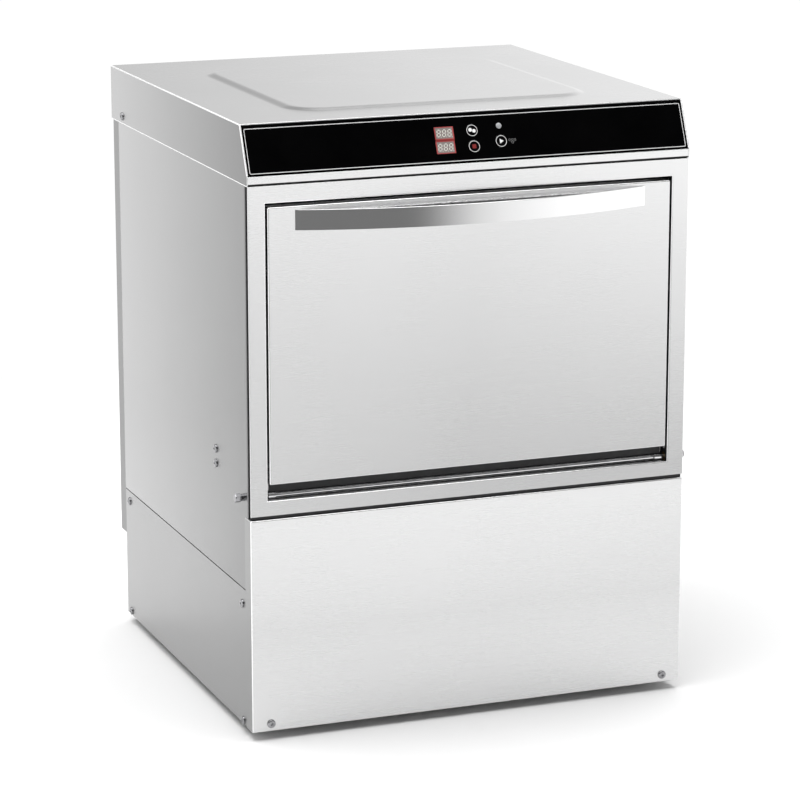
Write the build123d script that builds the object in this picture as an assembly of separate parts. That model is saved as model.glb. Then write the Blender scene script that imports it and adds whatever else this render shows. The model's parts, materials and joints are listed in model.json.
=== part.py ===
"""Glass washer: front-loading under-counter commercial washer for a 400 mm rack of glasses.

Millimetres, +Z up. The origin is on the floor, under the middle of the overall box. The front
plane of the casing faces -Y, and most depths are given as a distance behind that plane.
"""

from build123d import *
import os

# ---- driving dimensions -------------------------------------------------------------------
WIDTH = 500.0            # hood and lower front panel, side to side
DEPTH = 490.0            # front plane to the back of the hood
HANDLE_BOW = 33.0        # how far the handle stands out of the front plane
FRONT_Y = (HANDLE_BOW - DEPTH) / 2  # front plane, so that the overall box is centred on Y
FOOT_GAP = 10.0          # floor to the bottom edge of the panels
HOOD_TOP = 659.0
SHEET = 1.0              # casing sheet steel
SIDE_X = 248.8           # outer face of the side panels
SIDE_D, REAR_D = 12.0, 465.0  # front and back edges of the side panels
HOOD_BASE = 597.5        # lower edge of the hood's side skirts
HOOD_LIP = 600.0         # lower edge of its front lip

LOWER_TOP = 243.5        # top edge of the lower front panel
FRAME_LOW, FRAME_TOP = 246.5, 598.5
FRAME_X = 249.5
OPEN_X = 230.3           # half width of the door opening
OPEN_LOW, OPEN_TOP = 263.5, 579.0
FRAME_SHEET = 1.2
FRAME_RETURN_X = 246.0   # outer face of the frame's side returns

DOOR_X = 228.2           # half width of the door's face
DOOR_LOW, DOOR_TOP = 280.5, 575.0
DOOR_THICK = 24.0
HINGE_D, HINGE_Z = 12.0, 266.0
ROD_R = 3.0
RUNNING = 0.05           # radial clearance of a running fit

HANDLE_X = 198.6
HANDLE_LOW, HANDLE_TOP = 549.5, 571.0
HANDLE_SHEET = 1.5

SEAM_Z = 162.0           # top edge of the lower side panels
TANK_X = 218.0           # half width inside the wash chamber
TANK_WALL = SHEET
TANK_OUT = TANK_X + TANK_WALL  # outer face of the chamber's side walls
TANK_FRONT, TANK_BACK = 29.0, 440.0
TANK_FLOOR, TANK_ROOF = 225.0, 570.0
SILL_Z = 279.0           # lower edge of the chamber's mouth
MOUTH_TOP = 568.0
SUMP_X, SUMP_FLOOR = 109.0, 161.0
SUMP_FRONT, SUMP_BACK = 121.0, 339.0
CENTRE_D = (TANK_FRONT + TANK_BACK) / 2
STANDPIPE_AT = (75.0, 295.0)
RAIL_Z = 278.0           # the rack slides on this level, as on the open door

FASCIA_Z = 608.0         # lower edge of the sloping fascia
FASCIA_RUN = 22.5        # how far the slope leans back
FASCIA_THICK = 2.5
FASCIA_X = 248.2
SLOPE = Plane(
    origin=(0, FRONT_Y, FASCIA_Z), x_dir=(1, 0, 0),
    z_dir=(0, FASCIA_Z - HOOD_TOP, FASCIA_RUN),
)
FASCIA_SEAT = ((HOOD_TOP - FASCIA_Z) ** 2 + FASCIA_RUN**2) ** 0.5 - 1.1  # up the slope
BUTTONS = {"button_program": (3.5, 34.7), "button_power": (3.5, 17.5), "button_start": (34.7, 21.4)}
BUTTON_R = 6.45
LAMP_AT, LAMP_R = (34.6, 38.0), 3.2
DISPLAYS = [(-27.9, 33.4), (-28.3, 18.2)]
DISPLAY_SIZE = (21.4, 13.6)
WINDOW_PLAY = 0.2

FOOT_X, FOOT_DEPTHS = 205.0, {"front": 62.0, "rear": 421.0}
STUD_R = 4.9
SCREW_R, SCREW_HEAD_R, SCREW_HEAD = 2.0, 4.6, 2.4
LOWER_SCREWS = [(33.0, 14.3), (33.0, 145.0), (449.0, 15.8), (449.0, 150.0)]
HOOD_SCREW = (445.0, 606.0)
BRACKET_SCREWS = [(117.0, 278.3), (117.0, 294.4)]
FRONT_SCREW = (229.0, 18.5)
BOLT_D, BOLT_Z, BOLT_R = 22.0, 264.5, 3.0
BOLT_COLLAR_R, BOLT_COLLAR, BOLT_HEAD = 3.8, 5.0, 6.0

PUMP_X, PUMP_Z = -165.0, 100.0
BOILER_X, BOILER_Z, BOILER_R = 170.0, 110.0, 62.0
INLET_AT, DRAIN_AT, GLAND_AT = (-100.0, 62.0), (70.0, 60.0), (185.0, 72.0)
INLET_R, DRAIN_R, GLAND_BORE_R = 13.2, 15.0, 5.5


# ---- helpers ------------------------------------------------------------------------------
def y_at(depth):
    """Y of a point so far behind the front plane."""
    return FRONT_Y + depth


def block(x, d, z):
    """Box from (low, high) pairs: X, depth behind the front plane, and Z."""
    size = Box(x[1] - x[0], d[1] - d[0], z[1] - z[0])
    return Pos(sum(x) / 2, y_at(sum(d) / 2), sum(z) / 2) * size


def rod_x(radius, x, d, z):
    return Pos(sum(x) / 2, y_at(d), z) * Rot(0, 90, 0) * Cylinder(radius, abs(x[1] - x[0]))


def rod_y(radius, x, d, z):
    return Pos(x, y_at(sum(d) / 2), z) * Rot(90, 0, 0) * Cylinder(radius, abs(d[1] - d[0]))


def rod_z(radius, x, d, z):
    return Pos(x, y_at(d), sum(z) / 2) * Cylinder(radius, abs(z[1] - z[0]))


def on_slope(x, up, solid):
    """A solid drawn at the origin, set on the fascia's slope with +Z out of its face."""
    return SLOPE.location * Pos(x, up, 0) * solid


def mirrored(solid):
    """The solid and its mirror image across the machine's middle, as separate solids."""
    return Compound(children=[solid, mirror(solid, about=Plane.YZ)])


def profile_x(points, half_width):
    """Extrudes a (depth, Z) outline from -half_width to +half_width along X."""
    outline = Polyline([(0, y_at(d), z) for d, z in points], close=True)
    return extrude(make_face(outline), half_width, dir=(1, 0, 0), both=True)


def pipe(points, radius, wall, bend):
    """Hollow tube along straight runs of (X, depth, Z) points, joined by tangent bends."""
    path = FilletPolyline(*[(x, y_at(d), z) for x, d, z in points], radius=bend)
    section = Plane(origin=path @ 0, z_dir=path % 0) * (Circle(radius) - Circle(radius - wall))
    return sweep(section, path=path)


def ring(outer, inner, x, d, z):
    return rod_z(outer, x, d, z) - rod_z(inner, x, d, z)


# ---- casing -------------------------------------------------------------------------------
def base_frame():
    """Folded angle ring with corner gussets for the feet and two cross-members."""
    outer, leg, thick = 247.8, 26.5, 1.5
    front, back = 20.0, 463.0
    low, high = 13.0, 35.0
    frame = block((-outer, outer), (front, back), (low, high))
    frame -= block(
        (thick - outer, outer - thick), (front + thick, back - thick), (low + thick, high + 1)
    )
    frame -= block((leg - outer, outer - leg), (front + leg, back - leg), (low - 1, high))
    for side in (-1, 1):
        for depth in FOOT_DEPTHS.values():
            reach = sorted((side * (FOOT_X - 20), side * (outer - thick)))
            rows = (front + thick, depth + 20) if depth < CENTRE_D else (depth - 20, back - thick)
            frame += block(reach, rows, (low + thick, low + thick + 3))
            frame -= rod_z(STUD_R + 0.6, side * FOOT_X, depth, (low - 1, low + 6))
        for depth, z in (LOWER_SCREWS[0], LOWER_SCREWS[2]):
            frame -= rod_x(SCREW_R, sorted((side * 240, side * 250)), depth, z)
    for depth in (150.0, 320.0):
        frame += block(
            (leg - outer - 1, outer - leg + 1), (depth - 15, depth + 15), (low, low + thick)
        )
    return frame


def corner_posts():
    """Four angle uprights from the base frame to the hood."""
    posts = []
    for front, back, leg in ((30.0, 44.0, 42.5), (449.0, 463.0, 449.0)):
        post = block((232, 247.8), (leg, leg + 1.5), (35, 597))
        post += block((246.3, 247.8), (front, back), (35, 597))
        for depth, z in LOWER_SCREWS:
            post -= rod_x(SCREW_R, (240, 250), depth, z)
        posts += [post, mirror(post, about=Plane.YZ)]
    return Compound(children=posts)


def foot(side, depth):
    """Levelling foot: threaded stud with a moulded pad, in its screwed-in position."""
    x = side * FOOT_X
    pad = Pos(x, y_at(depth), 0) * extrude(Circle(18), 6)
    pad += Pos(x, y_at(depth), 7.5) * Cone(18, 9, 3)
    return pad + rod_z(STUD_R, x, depth, (9, 48))


def foot_nuts():
    """Hexagon weld nuts on the gussets, one for each foot."""
    nuts = []
    for side in (-1, 1):
        for depth in FOOT_DEPTHS.values():
            nut = Pos(side * FOOT_X, y_at(depth), 17.5) * extrude(RegularPolygon(9.2, 6), 8)
            nuts.append(nut - rod_z(STUD_R + RUNNING, side * FOOT_X, depth, (17, 26)))
    return Compound(children=nuts)


def lower_front_panel():
    half, back = WIDTH / 2, 19.0
    panel = block((-half, half), (0, back), (FOOT_GAP, LOWER_TOP))
    panel -= block(
        (SHEET - half, half - SHEET), (SHEET, back + 1), (FOOT_GAP + SHEET, LOWER_TOP - SHEET)
    )
    for side in (-1, 1):
        relief = sorted((side * (SIDE_X - 1.2), side * (half - SHEET)))
        panel -= block(relief, (SHEET, back + 1), (FOOT_GAP - 1, LOWER_TOP + 1))
        panel -= rod_y(SCREW_R, side * FRONT_SCREW[0], (-1, 3), FRONT_SCREW[1])
    return panel


def side_panel():
    """Upper side panel with a hemmed front edge and a folded rear edge (right side)."""
    inner = SIDE_X - SHEET
    panel = block((inner, SIDE_X), (SIDE_D, REAR_D), (SEAM_Z + 1, 615))
    panel += block((FRAME_RETURN_X, inner), (SIDE_D, SIDE_D + SHEET), (SEAM_Z + 1, HOOD_BASE - 1))
    panel += block((234, inner), (REAR_D - SHEET, REAR_D), (SEAM_Z + 1, 615))
    for depth, z in [*BRACKET_SCREWS, HOOD_SCREW]:
        panel -= rod_x(SCREW_R, (240, 251), depth, z)
    return panel - rod_x(BOLT_R, (240, 251), BOLT_D, BOLT_Z)


def lower_side_panel():
    """Lower side panel with a folded bottom edge (right side)."""
    inner = SIDE_X - SHEET
    panel = block((inner, SIDE_X), (18.5, REAR_D), (FOOT_GAP, SEAM_Z))
    panel += block((234, inner), (20, REAR_D - 2), (FOOT_GAP, FOOT_GAP + SHEET))
    for depth, z in LOWER_SCREWS:
        panel -= rod_x(SCREW_R, (240, 251), depth, z)
    return panel


def rear_cover():
    """Box-shaped cover over the upper back, open to the front."""
    back, low = DEPTH - SHEET - 0.2, 106.5
    cover = block((-SIDE_X, SIDE_X), (REAR_D, back), (low, 605))
    cover -= block(
        (SHEET - SIDE_X, SIDE_X - SHEET), (REAR_D - 1, back - SHEET), (low + SHEET, 606)
    )
    return cover


def lower_rear_panel():
    panel = block((-233, 233), (REAR_D - SHEET, REAR_D), (12, 597))
    panel -= rod_y(INLET_R + 0.5, INLET_AT[0], (460, 470), INLET_AT[1])
    panel -= rod_y(DRAIN_R + 0.5, DRAIN_AT[0], (460, 470), DRAIN_AT[1])
    return panel - rod_y(10, GLAND_AT[0], (460, 470), GLAND_AT[1])


def hood_cover():
    """Folded top with side skirts, a front lip, a seat for the fascia and a raised panel."""
    half = WIDTH / 2
    outline = [
        (0, HOOD_BASE), (0, FASCIA_Z), (FASCIA_RUN, HOOD_TOP), (DEPTH, HOOD_TOP), (DEPTH, HOOD_BASE)
    ]
    inside = [
        (1, HOOD_BASE - 1), (1, 606), (2.94, 606), (25.9, HOOD_TOP - SHEET),
        (DEPTH - SHEET, HOOD_TOP - SHEET), (DEPTH - SHEET, HOOD_BASE - 1),
    ]
    hood = profile_x(outline, half) - profile_x(inside, half - SHEET)
    seat = Pos(0, 0, 5 - FASCIA_THICK) * Box(2 * (half - SHEET), FASCIA_SEAT, 10)
    hood -= on_slope(0, FASCIA_SEAT / 2, seat)
    hood -= on_slope(8, 27, Box(106, 42, 20))
    hood -= block((-half - 1, half + 1), (-1, 1.3), (HOOD_BASE - 1, HOOD_LIP))
    middle = (76.0 + 398.0) / 2
    for lift, sign in ((0.0, 1), (-SHEET, -1)):
        lower = Pos(0, y_at(middle), HOOD_TOP + lift) * RectangleRounded(346, 322, 40)
        upper = Pos(0, y_at(middle), HOOD_TOP + 2.5 + lift) * RectangleRounded(330, 306, 32)
        raised = loft([lower, upper])
        hood = hood + raised if sign > 0 else hood - raised
    for side in (-1, 1):
        hood -= rod_x(SCREW_R, sorted((side * 245, side * 252)), *HOOD_SCREW)
    return hood


def control_fascia():
    """Sloping gloss fascia with windows for the displays, lamp and buttons."""
    plate = Pos(0, 0, -FASCIA_THICK / 2) * Box(2 * FASCIA_X, FASCIA_SEAT - 0.6, FASCIA_THICK)
    plate = on_slope(0, FASCIA_SEAT / 2, plate)
    width, height = (side + 2 * WINDOW_PLAY for side in DISPLAY_SIZE)
    for x, up in DISPLAYS:
        plate -= on_slope(x, up, Box(width, height, 10))
    for x, up in BUTTONS.values():
        plate -= on_slope(x, up, Cylinder(BUTTON_R + 0.25, 10))
    return plate - on_slope(*LAMP_AT, Cylinder(LAMP_R + 0.1, 10))


def door_frame():
    """Picture-frame surround of the door opening, with returns at both edges."""
    frame = block((-FRAME_X, FRAME_X), (0, FRAME_SHEET), (FRAME_LOW, FRAME_TOP))
    edge, inner = FRAME_RETURN_X, FRAME_RETURN_X - FRAME_SHEET
    frame += block((-edge, edge), (1, 14), (FRAME_LOW + 2, FRAME_TOP - 2))
    frame -= block((-inner, inner), (FRAME_SHEET, 15), (FRAME_LOW + 3.2, FRAME_TOP - 3.2))
    lip = OPEN_X + FRAME_SHEET
    frame += block((-lip, lip), (1, 9), (OPEN_LOW, OPEN_TOP + FRAME_SHEET))
    frame += block((-lip, lip), (1, 6), (OPEN_LOW - FRAME_SHEET, OPEN_LOW))
    frame -= block((-OPEN_X, OPEN_X), (-1, 10), (OPEN_LOW, OPEN_TOP))
    for side in (-1, 1):
        slot = sorted((side * 229, side * 233))
        frame -= block(slot, (5, 10), (OPEN_LOW - 1.3, HINGE_Z + 8))
    return frame


def pan_screw(length):
    """Pan-head screw with a cross recess, head at the origin, shank towards -Z."""
    head = extrude(Circle(SCREW_HEAD_R), SCREW_HEAD)
    head = fillet(head.edges().group_by(Axis.Z)[-1], 1.4)
    recess = Box(4.6, 0.9, 2) + Box(0.9, 4.6, 2)
    shank = Pos(0, 0, -length / 2) * Cylinder(SCREW_R, length)
    return head - Pos(0, 0, SCREW_HEAD) * recess + shank


def casing_screws():
    """All the pan-head screws of the casing, as separate solids."""
    screws = []
    spots = [(SIDE_X, d, z) for d, z in LOWER_SCREWS + BRACKET_SCREWS] + [(WIDTH / 2, *HOOD_SCREW)]
    for x, d, z in spots:
        screw = Pos(x, y_at(d), z) * Rot(0, 90, 0) * pan_screw(x - 243.5)
        screws += [screw, mirror(screw, about=Plane.YZ)]
    for side in (-1, 1):
        place = Pos(side * FRONT_SCREW[0], FRONT_Y, FRONT_SCREW[1]) * Rot(90, 0, 0)
        screws.append(place * pan_screw(12))
    return Compound(children=screws)


# ---- door ---------------------------------------------------------------------------------
def door_outer_skin():
    skin = block((-DOOR_X, DOOR_X), (0, 13), (DOOR_LOW, DOOR_TOP))
    skin -= block(
        (SHEET - DOOR_X, DOOR_X - SHEET), (SHEET, 14), (DOOR_LOW + SHEET, DOOR_TOP - SHEET)
    )
    return skin - block((-DOOR_X - 1, DOOR_X + 1), (9.5, 14), (DOOR_LOW - 1, DOOR_LOW + 3))


def door_inner_skin():
    """Inner pan of the door: it nests in the outer skin and closes over the hinge rod."""
    half, low, top = DOOR_X - SHEET, 270.0, DOOR_TOP - SHEET
    pan = block((-half, half), (2, DOOR_THICK), (low, top))
    pan -= block((SHEET - half, half - SHEET), (1, DOOR_THICK - SHEET), (low + SHEET, top - SHEET))
    pan -= block((-half - 1, half + 1), (1, 10.4), (low - 1, DOOR_LOW + 3))
    lip = block((-half, half), (10.4, 11.4), (low, DOOR_LOW - SHEET))
    return pan + lip


def door_handle():
    """Bowed strip, closed on top and open below for the fingers."""
    radius = (HANDLE_X**2 + HANDLE_BOW**2) / (2 * HANDLE_BOW)
    centre = Pos(0, y_at(radius - HANDLE_BOW), 0)

    def lens(r, low, high):
        disc = centre * Pos(0, 0, (low + high) / 2) * Cylinder(r, high - low)
        return disc & block((-HANDLE_X, HANDLE_X), (-HANDLE_BOW - 1, 0), (low, high))

    handle = lens(radius, HANDLE_LOW, HANDLE_TOP)
    return handle - lens(radius - HANDLE_SHEET, HANDLE_LOW - 1, HANDLE_TOP - HANDLE_SHEET)


def hinge_rod():
    """Hinge shaft with the two welded lugs that carry the door."""
    rod = rod_x(ROD_R, (-243.4, 243.4), HINGE_D, HINGE_Z)
    for side in (-1, 1):
        reach = sorted((side * 219, side * 227))
        lug = rod_x(5, reach, HINGE_D, HINGE_Z)
        lug += block(reach, (HINGE_D - 1.4, HINGE_D + 8), (HINGE_Z, 270))
        rod += lug & block((-240, 240), (0, 40), (200, 270))
    return rod


def hinge_bracket():
    """Bent bracket that carries the hinge bush and takes the side bolt (right side)."""
    low, high = 252.0, 282.0
    bracket = block((232, 236), (3, 30), (low, high))
    bracket += block((236, 247.8), (26, 30), (low, high))
    bracket += block((243.8, 247.8), (16, 30), (low, high))
    bracket -= rod_x(5, (231, 237), HINGE_D, HINGE_Z)
    return bracket - rod_x(BOLT_R, (240, 250), BOLT_D, BOLT_Z)


def hinge_bush():
    bush = rod_x(5, (231.9, 236), HINGE_D, HINGE_Z) + rod_x(6.5, (236, 237), HINGE_D, HINGE_Z)
    return bush - rod_x(ROD_R + RUNNING, (230, 240), HINGE_D, HINGE_Z)


def hinge_spring():
    """Torsion spring of five close turns beside the bracket, with its fixed leg."""
    wire = 0.7
    spring = None
    for turn in range(5):
        coil = Pos(238.0 + turn * 1.2, y_at(HINGE_D), HINGE_Z) * Rot(0, 90, 0) * Torus(5.2, wire)
        spring = coil if spring is None else spring + coil
    leg = rod_z(wire - 0.02, 238.0, HINGE_D + 5.2, (HINGE_Z, HINGE_Z + 12))
    return spring + leg


def hinge_bolt():
    """M6 bolt with a hexagon head, from the outside into the hinge bracket."""
    shank = rod_x(BOLT_R, (244, SIDE_X), BOLT_D, BOLT_Z)
    collar = rod_x(BOLT_COLLAR_R, (SIDE_X, SIDE_X + BOLT_COLLAR), BOLT_D, BOLT_Z)
    seat = Pos(SIDE_X + BOLT_COLLAR, y_at(BOLT_D), BOLT_Z) * Rot(0, 90, 0)
    head = seat * extrude(RegularPolygon(5.0, 6), BOLT_HEAD)
    return shank + collar + head


# ---- wash chamber -------------------------------------------------------------------------
def chamber_mouth():
    """Front flange around the mouth, with the rebate that the door closes into."""
    rim, back = 231.5, TANK_FRONT
    mouth = block((-rim, rim), (back - TANK_WALL, back), (258, 580.2))
    mouth += block((-TANK_OUT, TANK_OUT), (back - TANK_WALL, back), (TANK_FLOOR - TANK_WALL, 258))
    mouth += block((-rim, rim), (9, back), (579.2, 580.2))
    mouth += block((-rim, rim), (2, back), (258, 259))
    for side in (-1, 1):
        mouth += block(sorted((side * (rim - 1), side * rim)), (9, back), (276, 580.2))
    return mouth - block((-TANK_X, TANK_X), (back - 2, back + 1), (SILL_Z, MOUTH_TOP))


def chamber_wall():
    """Side wall of the chamber (right side)."""
    return block(
        (TANK_X, TANK_OUT), (TANK_FRONT, TANK_BACK + TANK_WALL),
        (TANK_FLOOR - TANK_WALL, TANK_ROOF + TANK_WALL),
    )


def chamber_back():
    return block(
        (-TANK_X, TANK_X), (TANK_BACK, TANK_BACK + TANK_WALL),
        (TANK_FLOOR - TANK_WALL, TANK_ROOF + TANK_WALL),
    )


def chamber_roof():
    """Roof sheet with the hole for the upper post."""
    roof = block((-TANK_X, TANK_X), (TANK_FRONT, TANK_BACK), (TANK_ROOF, TANK_ROOF + TANK_WALL))
    return roof - rod_z(12, 0, CENTRE_D, (TANK_ROOF - 1, TANK_ROOF + 2))


def chamber_floor():
    """Floor sheet, open over the sump."""
    floor = block((-TANK_X, TANK_X), (TANK_FRONT, TANK_BACK), (TANK_FLOOR - TANK_WALL, TANK_FLOOR))
    return floor - block(
        (-SUMP_X, SUMP_X), (SUMP_FRONT, SUMP_BACK), (TANK_FLOOR - 2, TANK_FLOOR + 1)
    )


def sump_pan():
    """Pan under the floor, with holes for the lower post, the standpipe and the suction hose."""
    pan = block(
        (-SUMP_X - TANK_WALL, SUMP_X + TANK_WALL),
        (SUMP_FRONT - TANK_WALL, SUMP_BACK + TANK_WALL),
        (SUMP_FLOOR - TANK_WALL, TANK_FLOOR - TANK_WALL),
    )
    pan -= block((-SUMP_X, SUMP_X), (SUMP_FRONT, SUMP_BACK), (SUMP_FLOOR, TANK_FLOOR))
    pan -= rod_z(15, 0, CENTRE_D, (SUMP_FLOOR - 2, SUMP_FLOOR + 1))
    pan -= rod_z(16, *STANDPIPE_AT, (SUMP_FLOOR - 2, SUMP_FLOOR + 1))
    return pan - rod_x(18, (-SUMP_X - 2, 1 - SUMP_X), 300, 190)


def door_gasket():
    """Rubber ring on the chamber's flange, just clear of the closed door."""
    low, high = 269.0, 577.0
    seal = block((-229.5, 229.5), (DOOR_THICK + 0.4, TANK_FRONT - 1), (low, high))
    return seal - block((-221, 221), (DOOR_THICK, TANK_FRONT), (low + 8, high - 8))


def rack_rail():
    """Angle that carries one side of the rack (right side)."""
    rail = block((188, TANK_X), (36, 415), (RAIL_Z - 1.5, RAIL_Z))
    return rail + block((TANK_X - 1.5, TANK_X), (36, 415), (RAIL_Z, RAIL_Z + 30))


def sump_filter():
    """Lift-out perforated tray over the sump, with openings for the post and the standpipe."""
    tray = block((-122, 122), (108, 352), (TANK_FLOOR, TANK_FLOOR + 1.2))
    tray += block((-122, 122), (108, 352), (TANK_FLOOR, TANK_FLOOR + 4))
    tray -= block((-120.5, 120.5), (109.5, 350.5), (TANK_FLOOR + 1.2, TANK_FLOOR + 5))
    tray -= rod_z(17, 0, CENTRE_D, (220, 230))
    tray -= rod_z(19, *STANDPIPE_AT, (220, 230))
    for column in range(-3, 4):
        for row in range(-3, 4):
            x, d = column * 32, CENTRE_D + row * 32
            if abs(x) > 30 or abs(d - CENTRE_D) > 30:
                if abs(x - STANDPIPE_AT[0]) > 32 or abs(d - STANDPIPE_AT[1]) > 32:
                    slot = block((x - 9, x + 9), (d - 3, d + 3), (220, 230))
                    tray -= slot
    return tray


def overflow_standpipe():
    """Pull-up overflow tube that seats in the drain hole of the sump."""
    x, d = STANDPIPE_AT
    pipe_z = ring(16 - 0.3, 13, x, d, (SUMP_FLOOR - 6, 216))
    flange = ring(19, 13, x, d, (SUMP_FLOOR + 0.3, SUMP_FLOOR + 3))
    grip = block((x - 14, x + 14), (d - 2, d + 2), (204, 222))
    return pipe_z + flange + grip


def arm_posts():
    """The lower and the upper spindle: stepped hollow posts that feed and carry the arms."""
    lower = rod_z(15, 0, CENTRE_D, (SUMP_FLOOR - 12, 240)) + rod_z(12, 0, CENTRE_D, (240, 257))
    lower += rod_z(5, 0, CENTRE_D, (257, 275.5))
    lower -= rod_z(9, 0, CENTRE_D, (SUMP_FLOOR - 13, 254))
    upper = rod_z(12, 0, CENTRE_D, (543, 594)) + rod_z(5, 0, CENTRE_D, (524, 543))
    upper += rod_z(15, 0, CENTRE_D, (560.5, TANK_ROOF))
    upper -= rod_z(9, 0, CENTRE_D, (546, 595))
    return Compound(children=[lower, upper])


def spray_arm(hub_r, bore_r, hub_z, reach, width, height, faces_up):
    """Two-ended spray arm on a bored hub, with a row of nozzles along its working face."""
    low, high = hub_z
    middle = (low + high) / 2
    arm = rod_z(hub_r, 0, CENTRE_D, hub_z)
    bar = block(
        (-reach, reach), (CENTRE_D - width / 2, CENTRE_D + width / 2),
        (middle - height / 2, middle + height / 2),
    )
    arm += fillet(bar.edges().filter_by(Axis.Z), width / 2 - 0.5)
    face = middle + height / 2 if faces_up else middle - height / 2
    nozzle_r = width / 5
    for side in (-1, 1):
        for step in range(5):
            x = side * (reach - width / 2 - step * (reach - hub_r - width) / 4.4)
            arm += rod_z(nozzle_r, x, CENTRE_D, (face - 1.5, face + 1.5))
    return arm - rod_z(bore_r, 0, CENTRE_D, (low - 1, high + 1))


def arm_nuts():
    """Knurled nuts that keep the rinse arms on their spindles."""
    nuts = []
    for low, high in ((271.2, 275.5), (524.0, 527.8)):
        nut = Pos(0, y_at(CENTRE_D), low) * extrude(RegularPolygon(9, 12), high - low)
        nuts.append(nut - rod_z(5, 0, CENTRE_D, (low - 1, high + 1)))
    return Compound(children=nuts)


# ---- water and power ----------------------------------------------------------------------
def pump_volute():
    """Wash pump casing with its suction mouth, outlet and the seal hole for the shaft."""
    x, z = PUMP_X, PUMP_Z
    casing = rod_y(54, x, (200, 230), z) + rod_y(18, x, (180, 200), z)
    casing += rod_z(14, x + 36, 215, (z, z + 58))
    casing -= rod_y(44, x, (205, 225), z)
    casing -= rod_y(14, x, (179, 206), z)
    casing -= rod_z(9, x + 36, 215, (z + 15, z + 60))
    return casing - rod_y(5 + RUNNING, x, (224, 231), z)


def pump_motor():
    x, z = PUMP_X, PUMP_Z
    motor = rod_y(48, x, (230, 370), z)
    motor = fillet(motor.edges().group_by(Axis.Y)[-1], 8)
    motor += block((x - 30, x + 30), (250, 350), (35, z))
    return motor - rod_y(5 + RUNNING, x, (229, 262), z)


def pump_impeller():
    x, z = PUMP_X, PUMP_Z
    wheel = rod_y(40, x, (218, 221), z) + rod_y(5, x, (210, 260), z)
    for blade in range(6):
        vane = Pos(x, y_at(214), z) * Rot(0, blade * 60, 0) * Pos(20.5, 0, 0) * Box(35, 8, 2.5)
        wheel += vane
    return wheel


def rinse_boiler():
    shell = rod_y(BOILER_R, BOILER_X, (130, 390), BOILER_Z)
    shell = fillet(shell.edges(), 12)
    shell -= rod_y(12, BOILER_X, (129, 340), BOILER_Z)
    for depth in (170, 340):
        shell += block((BOILER_X - 35, BOILER_X + 35), (depth - 2, depth + 2), (14.5, BOILER_Z - 30))
    return shell


def heating_elements():
    """Boiler element on its flange, and the tank element along the sump wall."""
    boiler = rod_y(11.5, BOILER_X, (126, 330), BOILER_Z) + rod_y(24, BOILER_X, (120, 130), BOILER_Z)
    tank = pipe([(-95, 122, 182), (-95, 250, 182), (-60, 250, 182), (-60, 122, 182)], 4, 3, 8)
    return Compound(children=[boiler, tank])


def pump_hoses():
    """Suction hose from the sump to the pump, and delivery hose to the lower post."""
    suction = pipe([
        (-110, 300, 190), (PUMP_X, 300, 190), (PUMP_X, 145, 190),
        (PUMP_X, 145, PUMP_Z), (PUMP_X, 180, PUMP_Z),
    ], 17.9, 3, 24)
    outlet = PUMP_X + 36
    delivery = pipe([
        (outlet, 215, PUMP_Z + 58), (outlet, 215, 176), (outlet, 95, 176), (outlet, 95, 130),
        (0, 95, 130), (0, CENTRE_D, 130), (0, CENTRE_D, SUMP_FLOOR - 12),
    ], 13.9, 3, 17)
    return Compound(children=[suction, delivery])


def riser_pipe():
    """Wash riser up the back of the chamber and over its roof to the upper post."""
    return pipe([
        (-60, 300, 110), (-60, 452, 110), (-60, 452, 612), (0, 452, 612),
        (0, CENTRE_D, 612), (0, CENTRE_D, 594),
    ], 9.5, 1.5, 14)


def rinse_pipe():
    """Copper rinse pipe from the boiler up the back of the chamber to the roof."""
    return pipe([
        (BOILER_X, 390, BOILER_Z), (BOILER_X, 455, BOILER_Z), (BOILER_X, 455, 585),
        (BOILER_X, CENTRE_D, 585), (12, CENTRE_D, 585),
    ], 5, 1, 10)


def inlet_valve():
    """Solenoid valve whose threaded inlet stands out of the back."""
    x, z = INLET_AT
    valve = block((x - 18, x + 18), (420, 452), (z - 15, z + 15))
    valve += rod_y(INLET_R - 1, x, (440, REAR_D + 1), z) + rod_y(INLET_R, x, (REAR_D + 1, 486), z)
    valve += rod_z(15, x, 434, (z + 15, z + 50))
    return valve - rod_y(9, x, (445, 487), z)


def drain_spigot():
    x, z = DRAIN_AT
    spigot = rod_y(DRAIN_R - 0.8, x, (400, REAR_D + 1), z) + rod_y(DRAIN_R, x, (REAR_D + 1, 488), z)
    spigot += rod_y(DRAIN_R + 6, x, (460.5, REAR_D - SHEET), z)
    return spigot - rod_y(DRAIN_R - 2.5, x, (399, 489), z)


def cable_gland():
    x, z = GLAND_AT
    gland = rod_y(9.9, x, (455, 470), z)
    nut = Pos(0, 0, -4) * extrude(RegularPolygon(13, 6), 4)
    gland += Pos(x, y_at(REAR_D), z) * Rot(90, 0, 0) * nut
    gland += rod_y(11, x, (469, 484), z)
    gland = fillet(gland.edges().group_by(Axis.Y)[-1], 3)
    return gland - rod_y(GLAND_BORE_R, x, (450, 490), z)


def control_board():
    """Circuit board behind the fascia, with the three key switches and four stand-offs."""
    board = on_slope(8, 27, Pos(0, 0, -12) * Box(100, 38, 1.6))
    for x, up in BUTTONS.values():
        board += on_slope(x, up, Pos(0, 0, -9.2) * Box(6, 6, 4.2))
    return board + on_slope(8, 27, Pos(30, 0, -17) * Box(24, 24, 9))


def display_modules():
    width, height = DISPLAY_SIZE
    return Compound(children=[
        on_slope(x, up, Pos(0, 0, -5.8) * Box(width, height, 10.6)) for x, up in DISPLAYS
    ])


def button(x, up):
    """Round key with a retaining collar behind the fascia."""
    cap = Pos(0, 0, -2.6) * Cylinder(BUTTON_R, 6)
    cap = fillet(cap.edges().group_by(Axis.Z)[-1], 0.5)
    return on_slope(x, up, cap + Pos(0, 0, -4) * Cylinder(BUTTON_R + 1.2, 1))


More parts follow.
